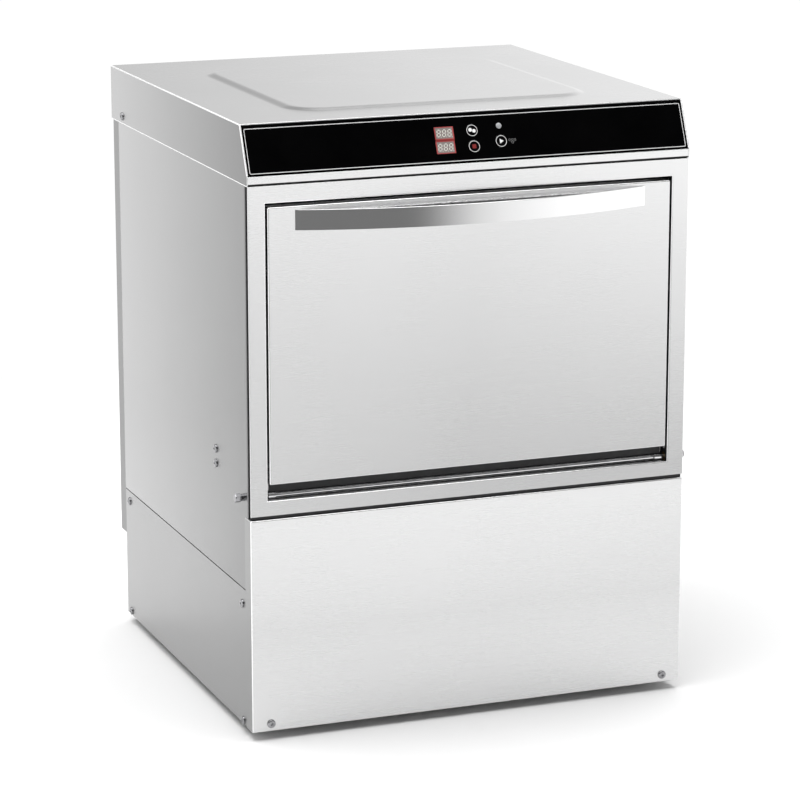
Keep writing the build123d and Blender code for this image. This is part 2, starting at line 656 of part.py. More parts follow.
def indicator_lamp():
    lens = Cylinder(LAMP_R, 8)
    return on_slope(*LAMP_AT, Pos(0, 0, -3.6) * fillet(lens.edges().group_by(Axis.Z)[-1], 1.0))


def tank_bracket():
    """Channel that ties the chamber wall to the side panel (right side)."""
    channel = block((TANK_X + SHEET, 247.8), (108, 126), (271, 302))
    channel -= block((TANK_X + 3, 245.3), (107, 127), (273, 300))
    for depth, z in BRACKET_SCREWS:
        channel -= rod_x(SCREW_R, (240, 250), depth, z)
    return channel


def power_board():
    """Mains board with relays and terminals on a folded plate behind the front panel."""
    plate = block((-90, 40), (70, 71.5), (14.5, 140))
    board = block((-82, 32), (64, 65.6), (40, 132))
    for x, z in ((-76, 46), (26, 46), (-76, 126), (26, 126)):
        board += rod_y(3, x, (64, 70), z)
    for step in range(4):
        board += block((-76 + step * 24, -58 + step * 24), (50, 64), (95, 115))
    board += block((-70, 20), (52, 64), (48, 62))
    return Compound(children=[plate, board])


def dosing_pump():
    """Rinse-aid pump: square body with a round rotor chamber."""
    x, z = 66.0, 80.0
    body = block((x - 22, x + 22), (60, 100), (z - 22, z + 22)) + rod_y(22, x, (40, 60), z)
    body += block((x - 22, x + 22), (60, 64), (14.5, z))
    body -= rod_y(18, x, (42, 58), z)
    return body - rod_y(3 + RUNNING, x, (57, 80), z)


def dosing_rotor():
    x, z = 66.0, 80.0
    rotor = rod_y(6, x, (44, 56), z) + rod_y(3, x, (44, 78), z)
    for roller in range(3):
        arm = Pos(6, 0, 0) * Box(12, 3, 5) + Pos(12, 0, 0) * Rot(90, 0, 0) * Cylinder(4, 10)
        rotor += Pos(x, y_at(50), z) * Rot(0, roller * 120, 0) * arm
    return rotor


def door_switch():
    """Reed switch on the chamber rim, behind the magnet in the door."""
    return block((150, 172), (TANK_FRONT, TANK_FRONT + 10), (571.5, 579))


def door_magnet():
    return block((155, 167), (DOOR_THICK - SHEET - 6, DOOR_THICK - SHEET), (562, 572))


# ---- the assembly -------------------------------------------------------------------------
def left(solid):
    return mirror(solid, about=Plane.YZ)


nodes = {
    "base_frame": base_frame(),
    "corner_posts": corner_posts(),
    "foot_nuts": foot_nuts(),
    "lower_front_panel": lower_front_panel(),
    "side_panel_right": side_panel(),
    "side_panel_left": left(side_panel()),
    "lower_side_panel_right": lower_side_panel(),
    "lower_side_panel_left": left(lower_side_panel()),
    "rear_cover": rear_cover(),
    "lower_rear_panel": lower_rear_panel(),
    "hood_cover": hood_cover(),
    "control_fascia": control_fascia(),
    "door_frame": door_frame(),
    "casing_screws": casing_screws(),
    "door_outer_skin": door_outer_skin(),
    "door_inner_skin": door_inner_skin(),
    "door_handle": door_handle(),
    "hinge_rod": hinge_rod(),
    "hinge_brackets": mirrored(hinge_bracket()),
    "hinge_bushes": mirrored(hinge_bush()),
    "hinge_springs": mirrored(hinge_spring()),
    "hinge_bolts": mirrored(hinge_bolt()),
    "chamber_mouth": chamber_mouth(),
    "chamber_wall_right": chamber_wall(),
    "chamber_wall_left": left(chamber_wall()),
    "chamber_back": chamber_back(),
    "chamber_roof": chamber_roof(),
    "chamber_floor": chamber_floor(),
    "sump_pan": sump_pan(),
    "door_gasket": door_gasket(),
    "rack_rails": mirrored(rack_rail()),
    "sump_filter": sump_filter(),
    "overflow_standpipe": overflow_standpipe(),
    "arm_posts": arm_posts(),
    "lower_wash_arm": spray_arm(18, 12 + RUNNING, (241, 256), 195, 28, 12, True),
    "lower_rinse_arm": spray_arm(10, 5 + RUNNING, (261, 271), 180, 12, 7, True),
    "upper_wash_arm": spray_arm(18, 12 + RUNNING, (545, 560), 195, 28, 12, False),
    "upper_rinse_arm": spray_arm(10, 5 + RUNNING, (528, 538), 180, 12, 7, False),
    "arm_nuts": arm_nuts(),
    "pump_volute": pump_volute(),
    "pump_motor": pump_motor(),
    "pump_impeller": pump_impeller(),
    "rinse_boiler": rinse_boiler(),
    "heating_elements": heating_elements(),
    "pump_hoses": pump_hoses(),
    "riser_pipe": riser_pipe(),
    "rinse_pipe": rinse_pipe(),
    "inlet_valve": inlet_valve(),
    "drain_spigot": drain_spigot(),
    "cable_gland": cable_gland(),
    "control_board": control_board(),
    "display_modules": display_modules(),
    "indicator_lamp": indicator_lamp(),
    "tank_brackets": mirrored(tank_bracket()),
    "power_board": power_board(),
    "dosing_pump": dosing_pump(),
    "dosing_rotor": dosing_rotor(),
    "door_switch": door_switch(),
    "door_magnet": door_magnet(),
}
for name, (x, up) in BUTTONS.items():
    nodes[name] = button(x, up)
for row, depth in FOOT_DEPTHS.items():
    for side, word in ((-1, "left"), (1, "right")):
        nodes[f"foot_{row}_{word}"] = foot(side, depth)

os.makedirs("parts", exist_ok=True)
for name, shape in nodes.items():
    export_step(shape, f"parts/{name}.step")
print(len(nodes), "nodes written")
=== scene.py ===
"""Looks of the glass washer: folded stainless casing, gloss fascia, bowed handle and wash chamber."""
import json
import math

import bmesh
import bpy
from mathutils import Matrix, Vector


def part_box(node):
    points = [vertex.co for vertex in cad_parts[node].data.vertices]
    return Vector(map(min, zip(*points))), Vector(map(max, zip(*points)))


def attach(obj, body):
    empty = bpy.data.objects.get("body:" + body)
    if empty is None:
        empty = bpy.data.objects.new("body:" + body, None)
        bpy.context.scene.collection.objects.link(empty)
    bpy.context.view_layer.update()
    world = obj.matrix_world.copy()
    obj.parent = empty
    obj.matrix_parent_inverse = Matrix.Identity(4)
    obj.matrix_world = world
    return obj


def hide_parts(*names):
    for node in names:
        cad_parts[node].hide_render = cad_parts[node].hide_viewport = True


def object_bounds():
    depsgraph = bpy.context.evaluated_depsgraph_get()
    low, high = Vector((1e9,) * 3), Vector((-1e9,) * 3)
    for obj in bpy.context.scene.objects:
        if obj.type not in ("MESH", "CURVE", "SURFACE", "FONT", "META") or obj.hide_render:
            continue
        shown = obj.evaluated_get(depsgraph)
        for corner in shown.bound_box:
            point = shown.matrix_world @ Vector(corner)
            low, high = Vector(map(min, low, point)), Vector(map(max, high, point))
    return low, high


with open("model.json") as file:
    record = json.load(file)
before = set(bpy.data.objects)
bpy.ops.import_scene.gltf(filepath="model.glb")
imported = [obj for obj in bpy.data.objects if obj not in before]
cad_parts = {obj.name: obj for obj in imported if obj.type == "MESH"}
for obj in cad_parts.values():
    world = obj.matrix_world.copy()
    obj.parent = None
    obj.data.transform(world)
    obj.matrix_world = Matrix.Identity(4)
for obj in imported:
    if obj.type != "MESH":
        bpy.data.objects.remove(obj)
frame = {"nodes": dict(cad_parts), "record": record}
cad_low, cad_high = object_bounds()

MM = 0.001
SHEET = 1.0 * MM
FOLD = 1.6 * MM          # outside radius of a sheet fold
CUT_EDGE = 0.22 * MM     # broken edge of cut sheet
FOLD_FACE = 0.0012       # the largest face, in square metres, that can belong to a rounded fold and take the painted highlight
DOOR_LIP = 10.4          # depth, in millimetres, of the door pan's lip and of the dark strip on it that paints the shade under the skin
COLLAR = 5 * MM          # collar under a hinge bolt's head
HEX_ACROSS = 4.33 * MM   # half of the head's width across its flats
KEY_RADIUS = 6.45 * MM
LAMP_RADIUS = 3.2 * MM
THREAD_PITCH = 1.25      # of the feet, in millimetres
SENSOR = 36.0
FOCAL = 3331.8 / 800.0   # focal length in widths of the picture
WORLD_LEVEL = 1.4
FLOOR_RADIUS = 1.5

# ---- places read from the frame -----------------------------------------------------------
front_low, front_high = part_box("lower_front_panel")
hood_low, hood_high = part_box("hood_cover")
side_low, side_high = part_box("side_panel_right")
base_low, base_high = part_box("lower_side_panel_right")
rear_low, rear_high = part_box("rear_cover")
frame_low, frame_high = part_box("door_frame")
skin_low, skin_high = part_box("door_outer_skin")
pan_low, pan_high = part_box("door_inner_skin")
handle_low, handle_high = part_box("door_handle")
FRONT = front_low.y
CENTRE_Y = (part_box("lower_wash_arm")[0].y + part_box("lower_wash_arm")[1].y) / 2


def at_depth(depth):
    """Y of a point so many millimetres behind the front plane."""
    return FRONT + depth * MM


# The fascia's slope: u across, v up the slope, n out of its face.
press = next(j for j in frame["record"]["behaviour"]["joints"] if j["name"] == "start_key_press")
SLOPE_N = -Vector(press["axis"]).normalized()
SLOPE_V = Vector((0.0, SLOPE_N.z, -SLOPE_N.y))
PLATE = 2.5 * MM         # fascia plate, flush with the slope
PLATE_GAP = 0.3 * MM
SLOPE_O = Vector((0.0, FRONT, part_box("control_fascia")[0].z - PLATE_GAP * SLOPE_V.z + PLATE * SLOPE_N.z))
SLOPE = Matrix.Translation(SLOPE_O) @ Matrix(
    ((1, 0, 0, 0), (0, SLOPE_V.y, SLOPE_N.y, 0), (0, SLOPE_V.z, SLOPE_N.z, 0), (0, 0, 0, 1))
)
HOOD_TOP = hood_high.z - 2.5 * MM   # the flat of the top, below the raised panel
SLOPE_LENGTH = (HOOD_TOP - SLOPE_O.z) / SLOPE_V.z


# ---- material helpers ---------------------------------------------------------------------
class Shader:
    """A small wrapper that builds a node tree for one material."""

    def __init__(self, name):
        self.material = bpy.data.materials.new(name)
        self.material.use_nodes = True
        self.nodes = self.material.node_tree.nodes
        self.links = self.material.node_tree.links
        self.bsdf = self.nodes["Principled BSDF"]
        self.coords = self.nodes.new("ShaderNodeTexCoord").outputs["Object"]

    def set(self, **values):
        for key, value in values.items():
            self.bsdf.inputs[key.replace("_", " ")].default_value = value
        return self

    def scaled(self, scale):
        mapping = self.nodes.new("ShaderNodeMapping")
        mapping.inputs["Scale"].default_value = scale
        self.links.new(self.coords, mapping.inputs["Vector"])
        return mapping.outputs["Vector"]

    def noise(self, scale, detail=3.0, rough=0.55):
        node = self.nodes.new("ShaderNodeTexNoise")
        node.inputs["Scale"].default_value = 1.0
        node.inputs["Detail"].default_value = detail
        node.inputs["Roughness"].default_value = rough
        self.links.new(self.scaled(scale), node.inputs["Vector"])
        return node.outputs["Fac"]

    def ramp(self, source, low, high, start=0.0, end=1.0):
        """Maps a 0..1 value onto low..high between start and end."""
        node = self.nodes.new("ShaderNodeMapRange")
        node.inputs["From Min"].default_value = start
        node.inputs["From Max"].default_value = end
        node.inputs["To Min"].default_value = low
        node.inputs["To Max"].default_value = high
        self.links.new(source, node.inputs["Value"])
        return node.outputs["Result"]

    def math(self, kind, a, b):
        node = self.nodes.new("ShaderNodeMath")
        node.operation = kind
        for socket, value in zip(node.inputs, (a, b)):
            if isinstance(value, (int, float)):
                socket.default_value = value
            else:
                self.links.new(value, socket)
        return node.outputs[0]

    def mix(self, factor, a, b):
        node = self.nodes.new("ShaderNodeMix")
        node.data_type = "RGBA"
        node.inputs["A"].default_value = (*a, 1.0)
        node.inputs["B"].default_value = (*b, 1.0)
        self.links.new(factor, node.inputs["Factor"])
        return node.outputs["Result"]

    def colour(self, output):
        self.links.new(output, self.bsdf.inputs["Base Color"])

    def rough(self, output):
        self.links.new(output, self.bsdf.inputs["Roughness"])

    def bump(self, height, strength, distance):
        node = self.nodes.new("ShaderNodeBump")
        node.inputs["Strength"].default_value = strength
        node.inputs["Distance"].default_value = distance
        self.links.new(height, node.inputs["Height"])
        self.links.new(node.outputs["Normal"], self.bsdf.inputs["Normal"])
        return self


def brushed_steel(name, grain, tone, roughness, depth, painted_shading=()):
    """Stainless sheet with fine grain lines: grain gives the stretch of the lines along X, Y and Z.

    painted_shading lists (axis, from, to, tone factor at from, at to): painted shade and light, graded
    across the sheet for the light it gets.
    """
    s = Shader(name).set(Metallic=1.0, Roughness=roughness)
    lines = s.noise(grain, detail=4.0, rough=0.7)
    fine = s.noise([g * 2.7 for g in grain], detail=2.0, rough=0.6)
    clouds = s.noise((3.1, 3.1, 3.1), detail=2.0)
    smudge = s.noise((14.0, 14.0, 14.0), detail=4.0, rough=0.6)
    grainy = s.math("MULTIPLY", s.math("ADD", lines, fine), 0.5)
    light, dark = tone * 1.012, tone * 0.984
    fleck = s.ramp(grainy, 0.0, 1.0, 0.3, 0.7)
    tint = s.mix(fleck, (dark, dark, dark * 1.003), (light, light, light * 1.003))
    # Painted shading: the tone is scaled along an axis, darker or lighter where the sheet gets less or more
    # light.
    for axis, start, end, first, last in painted_shading:
        split = s.nodes.new("ShaderNodeSeparateXYZ")
        s.links.new(s.coords, split.inputs[0])
        scale = s.nodes.new("ShaderNodeVectorMath")
        scale.operation = "SCALE"
        s.links.new(tint, scale.inputs[0])
        s.links.new(s.ramp(split.outputs[axis], first, last, start, end), scale.inputs["Scale"])
        tint = scale.outputs[0]
    s.colour(tint)
    wear = s.math("ADD", s.ramp(clouds, -0.008, 0.008, 0.3, 0.7), s.ramp(smudge, -0.006, 0.006, 0.35, 0.65))
    grain_rough = s.ramp(grainy, roughness - 0.015, roughness + 0.015, 0.3, 0.7)
    s.rough(s.math("ADD", grain_rough, wear))
    return s.bump(grainy, depth, 0.00012).material


def moulded(name, colour, roughness, grain=900.0, depth=0.12):
    """Moulded plastic with a fine spark-eroded grain and slight tone changes."""
    s = Shader(name).set(Roughness=roughness)
    fine = s.noise((grain, grain, grain), detail=2.0)
    broad = s.noise((25.0, 25.0, 25.0), detail=3.0)
    dull, fresh = [c * 0.88 for c in colour], [c * 1.1 for c in colour]
    s.colour(s.mix(s.ramp(broad, 0.0, 1.0, 0.3, 0.7), dull, fresh))
    s.rough(s.ramp(broad, roughness - 0.05, roughness + 0.05, 0.3, 0.7))
    return s.bump(fine, depth, 0.0001).material


def gloss(name, colour, roughness, coat, specular):
    """Gloss plastic or glass with faint hairlines and finger haze."""
    s = Shader(name).set(Roughness=roughness)
    s.bsdf.inputs["Coat Weight"].default_value = coat
    s.bsdf.inputs["Coat Roughness"].default_value = 0.04
    s.bsdf.inputs["Specular IOR Level"].default_value = specular
    haze = s.noise((18.0, 18.0, 18.0), detail=4.0, rough=0.65)
    hair = s.noise((900.0, 40.0, 900.0), detail=2.0)
    s.colour(s.mix(s.ramp(haze, 0.0, 1.0, 0.35, 0.65), colour, [c * 1.25 + 0.0006 for c in colour]))
    s.rough(s.ramp(haze, roughness * 0.8, roughness * 1.5, 0.35, 0.7))
    return s.bump(hair, 0.02, 0.00003).material


def ink(name, colour, roughness=0.5):
    """Screen-printed ink: flat, with a slightly uneven coat."""
    s = Shader(name).set(Roughness=roughness)
    coat = s.noise((700.0, 700.0, 700.0), detail=2.0)
    s.colour(s.mix(s.ramp(coat, 0.0, 1.0, 0.3, 0.7), [c * 0.92 for c in colour], colour))
    return s.bump(coat, 0.05, 0.00003).material


def rubber(name, colour=(0.012, 0.012, 0.013)):
    s = Shader(name).set(Roughness=0.7)
    dust = s.noise((60.0, 60.0, 60.0), detail=5.0, rough=0.7)
    skin = s.noise((1400.0, 1400.0, 1400.0), detail=1.0)
    s.colour(s.mix(s.ramp(dust, 0.0, 1.0, 0.45, 0.8), colour, [c + 0.03 for c in colour]))
    s.rough(s.ramp(dust, 0.6, 0.85, 0.3, 0.7))
    return s.bump(skin, 0.15, 0.0001).material


def plated(name, colour, roughness):
    """Bright plated or turned metal with fine marks and random darker stains."""
    s = Shader(name).set(Metallic=1.0, Roughness=roughness)
    marks = s.noise((500.0, 500.0, 500.0), detail=3.0)
    stain = s.noise((90.0, 90.0, 90.0), detail=3.0)
    s.colour(s.mix(s.ramp(stain, 0.0, 1.0, 0.35, 0.7), [c * 0.8 for c in colour], colour))
    s.rough(s.ramp(marks, roughness - 0.06, roughness + 0.1, 0.3, 0.7))
    return s.bump(marks, 0.05, 0.00005).material


ALONG_X = (2.0, 2.0, 2600.0)     # grain of the upright sheets
ACROSS_TOP = (2.0, 2600.0, 2.0)
EVEN = (300.0, 300.0, 300.0)
# Painted shading for the sheets: each list darkens or lightens a sheet along an axis for the light that
# falls on it.
DOOR_PAINTED_SHADING = [("Z", 0.26, 0.60, 0.62, 1.02), ("X", -0.25, 0.0, 1.16, 1.0)]
FRONT_PAINTED_SHADING = [("Z", 0.02, 0.12, 1.15, 1.0), ("Z", 0.12, 0.23, 1.0, 1.14)]
HOOD_SIDE_PAINTED_SHADING = [("Y", -0.23, 0.24, 0.44, 1.0)]
# Lit and shaded copies of the one stainless steel: the door, front, side, hood side, base, rear and top
# tones are set lighter or darker for the light each face gets.
steel_door = brushed_steel("steel_door", ALONG_X, 0.73, 0.27, 0.02, DOOR_PAINTED_SHADING)
steel_front = brushed_steel("steel_front", ALONG_X, 0.592, 0.27, 0.02, FRONT_PAINTED_SHADING)
steel_side = brushed_steel("steel_side", ALONG_X, 0.455, 0.30, 0.02, [("Y", -0.23, 0.24, 0.52, 1.0)])
steel_hood_side = brushed_steel("steel_hood_side", ALONG_X, 0.43, 0.30, 0.02, HOOD_SIDE_PAINTED_SHADING)
steel_base = brushed_steel("steel_base", ALONG_X, 0.383, 0.30, 0.02, [("Y", -0.23, 0.24, 0.76, 1.0)])
steel_rear = brushed_steel("steel_rear", ALONG_X, 0.23, 0.32, 0.02)
steel_top = brushed_steel("steel_top", ACROSS_TOP, 0.46, 0.28, 0.02, [("X", -0.25, 0.25, 0.90, 1.0)])
# Painted highlights: bright copies of the steel for the rounded folds, the rims of the sheet and the hood's
# hems.
fold_highlight_steel = brushed_steel("fold_highlight_steel", EVEN, 0.90, 0.20, 0.03)
hood_fold_highlight = brushed_steel("hood_fold_highlight", EVEN, 0.99, 0.50, 0.03)
steel_tank = brushed_steel("steel_tank", (40.0, 900.0, 900.0), 0.60, 0.26, 0.06)
steel_plain = brushed_steel("steel_plain", EVEN, 0.52, 0.38, 0.2)
# The handle is painted darker left of its middle, brightening to the right: painted shade; its top plate
# takes the same steel without it.
handle_steel = brushed_steel("handle_steel", ALONG_X, 0.78, 0.13, 0.02, [("X", 0.01, 0.12, 0.74, 1.0)])
handle_top_steel = brushed_steel("handle_top_steel", ALONG_X, 0.78, 0.13, 0.02)
screw_steel = plated("screw_steel", (0.33, 0.33, 0.34), 0.13)
bright_steel = plated("bright_steel", (0.72, 0.72, 0.73), 0.14)
rod_steel = plated("rod_steel", (0.78, 0.78, 0.79), 0.12)
# Painted shade: a near-black copy of the steel for the returns of the door frame.
return_painted_shade = brushed_steel("return_painted_shade", ALONG_X, 0.07, 0.35, 0.05)
fascia_black = gloss("fascia_black", (0.0004, 0.0004, 0.0005), 0.06, 0.0, 0.10)
key_black = gloss("key_black", (0.0012, 0.0012, 0.0014), 0.14, 0.0, 0.16)
window_red = gloss("window_red", (0.34, 0.06, 0.06), 0.12, 0.3, 0.4)
window_grey = gloss("window_grey", (0.21, 0.18, 0.17), 0.16, 0.3, 0.4)
lamp_grey = gloss("lamp_grey", (0.30, 0.31, 0.32), 0.2, 0.5, 0.5)
ink_white = ink("ink_white", (0.86, 0.86, 0.86))
ink_silver = ink("ink_silver", (0.72, 0.72, 0.72), 0.35)
ink_grey = ink("ink_grey", (0.22, 0.22, 0.22), 0.5)
ink_red = ink("ink_red", (0.20, 0.006, 0.005))
ink_digit = ink("ink_digit", (0.66, 0.66, 0.60))
seal_rubber = rubber("seal_rubber")
hose_rubber = rubber("hose_rubber", (0.02, 0.02, 0.022))
board_green = moulded("board_green", (0.015, 0.12, 0.05), 0.35, 400.0)
plastic_grey = moulded("plastic_grey", (0.42, 0.45, 0.48), 0.42)
plastic_blue = moulded("plastic_blue", (0.03, 0.12, 0.40), 0.4)
plastic_dark = moulded("plastic_dark", (0.018, 0.018, 0.02), 0.5)
plastic_white = moulded("plastic_white", (0.68, 0.68, 0.65), 0.4)
motor_paint = moulded("motor_paint", (0.05, 0.055, 0.06), 0.35, 250.0, 0.25)
copper = plated("copper", (0.72, 0.36, 0.22), 0.25)
bronze = plated("bronze", (0.55, 0.36, 0.15), 0.4)


# ---- mesh helpers -------------------------------------------------------------------------
def new_object(name, mesh):
    obj = bpy.data.objects.new(name, mesh)
    bpy.context.scene.collection.objects.link(obj)
    return obj


def from_bmesh(name, bm):
    bmesh.ops.recalc_face_normals(bm, faces=bm.faces)
    mesh = bpy.data.meshes.new(name)
    bm.to_mesh(mesh)
    bm.free()
    return new_object(name, mesh)


def break_edges(obj, width, segments, angle):
    """Small bevels on the edges sharper than angle, and level shading of the flat faces."""
    if width:
        bevel = obj.modifiers.new("broken_edges", "BEVEL")
        bevel.width = width
        bevel.segments = segments
        bevel.limit_method = "ANGLE"
        bevel.angle_limit = math.radians(angle)
        bevel.use_clamp_overlap = True
    obj.modifiers.new("flat_faces", "WEIGHTED_NORMAL").keep_sharp = True


def dress(obj, material, body, nodes=(), edge=CUT_EDGE, segments=2, angle=40.0,
          sides=None, folds=None):
    """Material, broken edges, shading, and the body and CAD nodes that the piece stands for.

    sides is the finish of the faces that look left or right, a copy with its tone painted for their light,
    and folds that of the rounded folds and of the rims of the sheet, a bright copy that paints a highlight
    on them.
    """
    obj.data.materials.clear()
    for finish in (material, sides or material, folds or material):
        obj.data.materials.append(finish)
    # Faces that look left or right take the side copy with its painted tone; small slanted fold faces take
    # the painted highlight.
    for face in obj.data.polygons:
        if abs(face.normal.x) > 0.98:
            face.material_index = 1
        elif max(abs(c) for c in face.normal) < 0.93 and face.area < FOLD_FACE:
            face.material_index = 2
        face.use_smooth = True
    # The rims of the sheet take the painted highlight as well.
    for modifier in obj.modifiers:
        if modifier.type == "SOLIDIFY":
            modifier.material_offset_rim = 2
    break_edges(obj, edge, segments, angle)
    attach(obj, body)
    if nodes:
        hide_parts(*nodes)


def soften(node, material, width=0.3 * MM):
    """Broken edges and a finished material on a CAD node that keeps its shape."""
    obj = frame["nodes"][node]
    obj.data.materials.clear()
    obj.data.materials.append(material)
    obj.modifiers.new("weld", "WELD").merge_threshold = 0.00002
    break_edges(obj, width, 2, 38.0)


def thicken(obj):
    """Gives a surface its sheet thickness, away from the side that its faces look to."""
    solid = obj.modifiers.new("sheet", "SOLIDIFY")
    solid.thickness = SHEET
    solid.offset = -1.0
    solid.use_even_offset = True


def loft(bm, rings, caps=False, wrap=False):
    """Joins closed rings of points with quads: caps fills the ends, and wrap joins last to first."""
    rings = [[bm.verts.new(point) for point in ring] for ring in rings]
    count = len(rings[0])
    for a, b in zip(rings, rings[1:] + rings[:1] if wrap else rings[1:]):
        for i in range(count):
            j = (i + 1) % count
            bm.faces.new((a[i], a[j], b[j], b[i]))
    if caps:
        bm.faces.new(rings[0])
        bm.faces.new(rings[-1])
    return rings


def eased(part):
    """Smooth rise from 0 to 1."""
    return part * part * (3 - 2 * part)


def press_field(bm, axis, rings):
    """Presses a field, given by its rings, into the largest face that looks along this axis."""
    bm.normal_update()
    face = max(bm.faces, key=lambda f: f.calc_area() if abs(f.normal[axis]) > 0.99 else 0)
    edges = list(face.edges)
    bm.faces.remove(face)
    rings = loft(bm, rings)
    first = rings[0]
    edges += [bm.edges.get((first[i], first[(i + 1) % len(first)])) for i in range(len(first))]
    bm.faces.new(rings[-1])
    bmesh.ops.triangle_fill(bm, use_beauty=True, use_dissolve=False, edges=edges)


def face_out(obj, direction):
    """Turns the faces so that the largest looks along this direction, out of the sheet's thickness."""
    bm = bmesh.new()
    bm.from_mesh(obj.data)
    largest = max(bm.faces, key=lambda f: f.calc_area())
    if largest.normal.dot(Vector(direction)) < 0:
        bmesh.ops.reverse_faces(bm, faces=bm.faces)
    bm.to_mesh(obj.data)
    bm.free()


def rounded_path(points, radius):
    """An open path of 2-D points with its inner corners rounded."""
    steps = 5
    path = [Vector(points[0])]
    for before, corner, after in zip(points, points[1:], points[2:]):
        before, corner, after = Vector(before), Vector(corner), Vector(after)
        a, b = (before - corner).normalized(), (after - corner).normalized()
        half = a.angle(b) / 2
        reach = radius / math.tan(half)
        centre = corner + (a + b).normalized() * radius / math.sin(half)
        start, end = corner + a * reach - centre, corner + b * reach - centre
        sweep = start.angle_signed(end)
        for step in range(steps + 1):
            path.append(centre + Matrix.Rotation(-sweep * step / steps, 2) @ start)
    path.append(Vector(points[-1]))
    return path


def rounded_rectangle(half_x, half_y, radius, steps=10):
    points = []
    for quarter, (sx, sy) in enumerate(((1, 1), (-1, 1), (-1, -1), (1, -1))):
        for step in range(steps + 1):
            turn = math.radians(90 * quarter + 90 * step / steps)
            points.append((
                sx * (half_x - radius) + radius * math.cos(turn),
                sy * (half_y - radius) + radius * math.sin(turn),
            ))
    return points


def circle(radius, centre, count):
    turns = [math.radians(360.0 * i / count) for i in range(count)]
    return [(centre[0] + radius * math.cos(t), centre[1] + radius * math.sin(t)) for t in turns]


def scale(points):
    """Points given in millimetres."""
    return [(x * MM, y * MM) for x, y in points]


def moved(points, x, y):
    return [(a + x, b + y) for a, b in points]


def box(bm, low, high):
    """Adds a box from its low to its high corner to the mesh."""
    made = bmesh.ops.create_cube(bm, size=1.0)["verts"]
    for vert in made:
        vert.co = Vector([low[i] if vert.co[i] < 0 else high[i] for i in range(3)])
    return made


def folded_sheet(name, points, place, span, radius, inward=1, thick=SHEET):
    """A folded strip: 2-D outline points, placed by place(a, b, along) between the two ends of span.

    The sheet's thickness grows to the left of the path, or to its right where inward is -1.
    """
    outer = rounded_path(points, radius)
    normals = []
    for i, point in enumerate(outer):
        run = (outer[min(i + 1, len(outer) - 1)] - outer[max(i - 1, 0)]).normalized()
        normals.append(Vector((-run.y, run.x)) * inward)
    inner = [p + n * thick for p, n in zip(outer, normals)]
    bm = bmesh.new()
    outline = outer + inner[::-1]
    last = len(outline) - 1
    for ring in loft(bm, [[place(p.x, p.y, along) for p in outline] for along in span]):
        for i in range(len(outer) - 1):
            bm.faces.new((ring[i], ring[i + 1], ring[last - 1 - i], ring[last - i]))
    return from_bmesh(name, bm)


def tray(name, low, high, keep, radius=FOLD, segments=4, low_return=None):
    """A folded or drawn tray: the kept faces of a box, with round folds, thickened inwards.

    low_return is the depth of its lower flange, where that differs.
    """
    bm = bmesh.new()
    for vert in box(bm, low, high):
        if low_return and vert.co.z == low[2] and vert.co.y == high[1]:
            vert.co.y = low[1] + low_return
    words = {"-x": (0, -1), "+x": (0, 1), "-y": (1, -1), "+y": (1, 1), "-z": (2, -1), "+z": (2, 1)}
    keep_normals = [words[word] for word in keep]
    bm.normal_update()
    doomed = [f for f in bm.faces if not any(f.normal[a] * s > 0.5 for a, s in keep_normals)]
    bmesh.ops.delete(bm, geom=doomed, context="FACES")
    folds = [e for e in bm.edges if len(e.link_faces) == 2]
    bmesh.ops.bevel(
        bm, geom=folds, offset=radius, segments=segments, affect="EDGES", profile=0.5, clamp_overlap=True
    )
    mesh = bpy.data.meshes.new(name)
    bm.to_mesh(mesh)
    bm.free()
    obj = new_object(name, mesh)
    thicken(obj)
    return obj


def prism(bm, points, low, high):
    """Adds a flat print or block with this outline to the mesh, from low to high off the face."""
    loft(bm, [[(x, y, z) for x, y in points] for z in (low, high)], caps=True)


def band(bm, outer, inner, low, high):
    """Adds a closed band between two outlines with the same number of points."""
    levels = ((outer, low), (outer, high), (inner, high), (inner, low))
    loft(bm, [[(x, y, z) for x, y in line] for line, z in levels], wrap=True)


def turned(name, profile, matrix, count=40):
    """A profile of (radius, height) pairs turned about Z, then placed by the matrix."""
    bm = bmesh.new()
    rings = []
    for radius, height in profile:
        if radius < 1e-7:
            rings.append([bm.verts.new((0, 0, height))])
        else:
            ring = []
            for i in range(count):
                turn = 2 * math.pi * i / count
                ring.append(bm.verts.new((radius * math.cos(turn), radius * math.sin(turn), height)))
            rings.append(ring)
    for a, b in zip(rings, rings[1:]):
        for i in range(count):
            j = (i + 1) % count
            if len(a) == 1:
                bm.faces.new((a[0], b[i], b[j]))
            elif len(b) == 1:
                bm.faces.new((a[i], a[j], b[0]))
            else:
                bm.faces.new((a[i], a[j], b[j], b[i]))
    for ring in (rings[0], rings[-1]):
        if len(ring) > 1:
            bm.faces.new(ring)
    bmesh.ops.transform(bm, matrix=matrix, verts=bm.verts)
    return from_bmesh(name, bm)


def cut(obj, cutters):
    """Boolean difference, applied."""
    for cutter in cutters:
        tool = obj.modifiers.new("cut", "BOOLEAN")
        tool.operation = "DIFFERENCE"
        tool.solver = "EXACT"
        tool.use_self = True
        tool.object = cutter
    graph = bpy.context.evaluated_depsgraph_get()
    mesh = bpy.data.meshes.new_from_object(obj.evaluated_get(graph))
    obj.modifiers.clear()
    obj.data = mesh
    for cutter in cutters:
        bpy.data.objects.remove(cutter)
    return obj


def copies(name, master, places):
    """One object made of the master's mesh at each matrix."""
    bm = bmesh.new()
    for place in places:
        start = len(bm.verts)
        bm.from_mesh(master.data)
        bm.verts.ensure_lookup_table()
        bmesh.ops.transform(bm, matrix=place, verts=bm.verts[start:])
    bpy.data.objects.remove(master)
    return from_bmesh(name, bm)


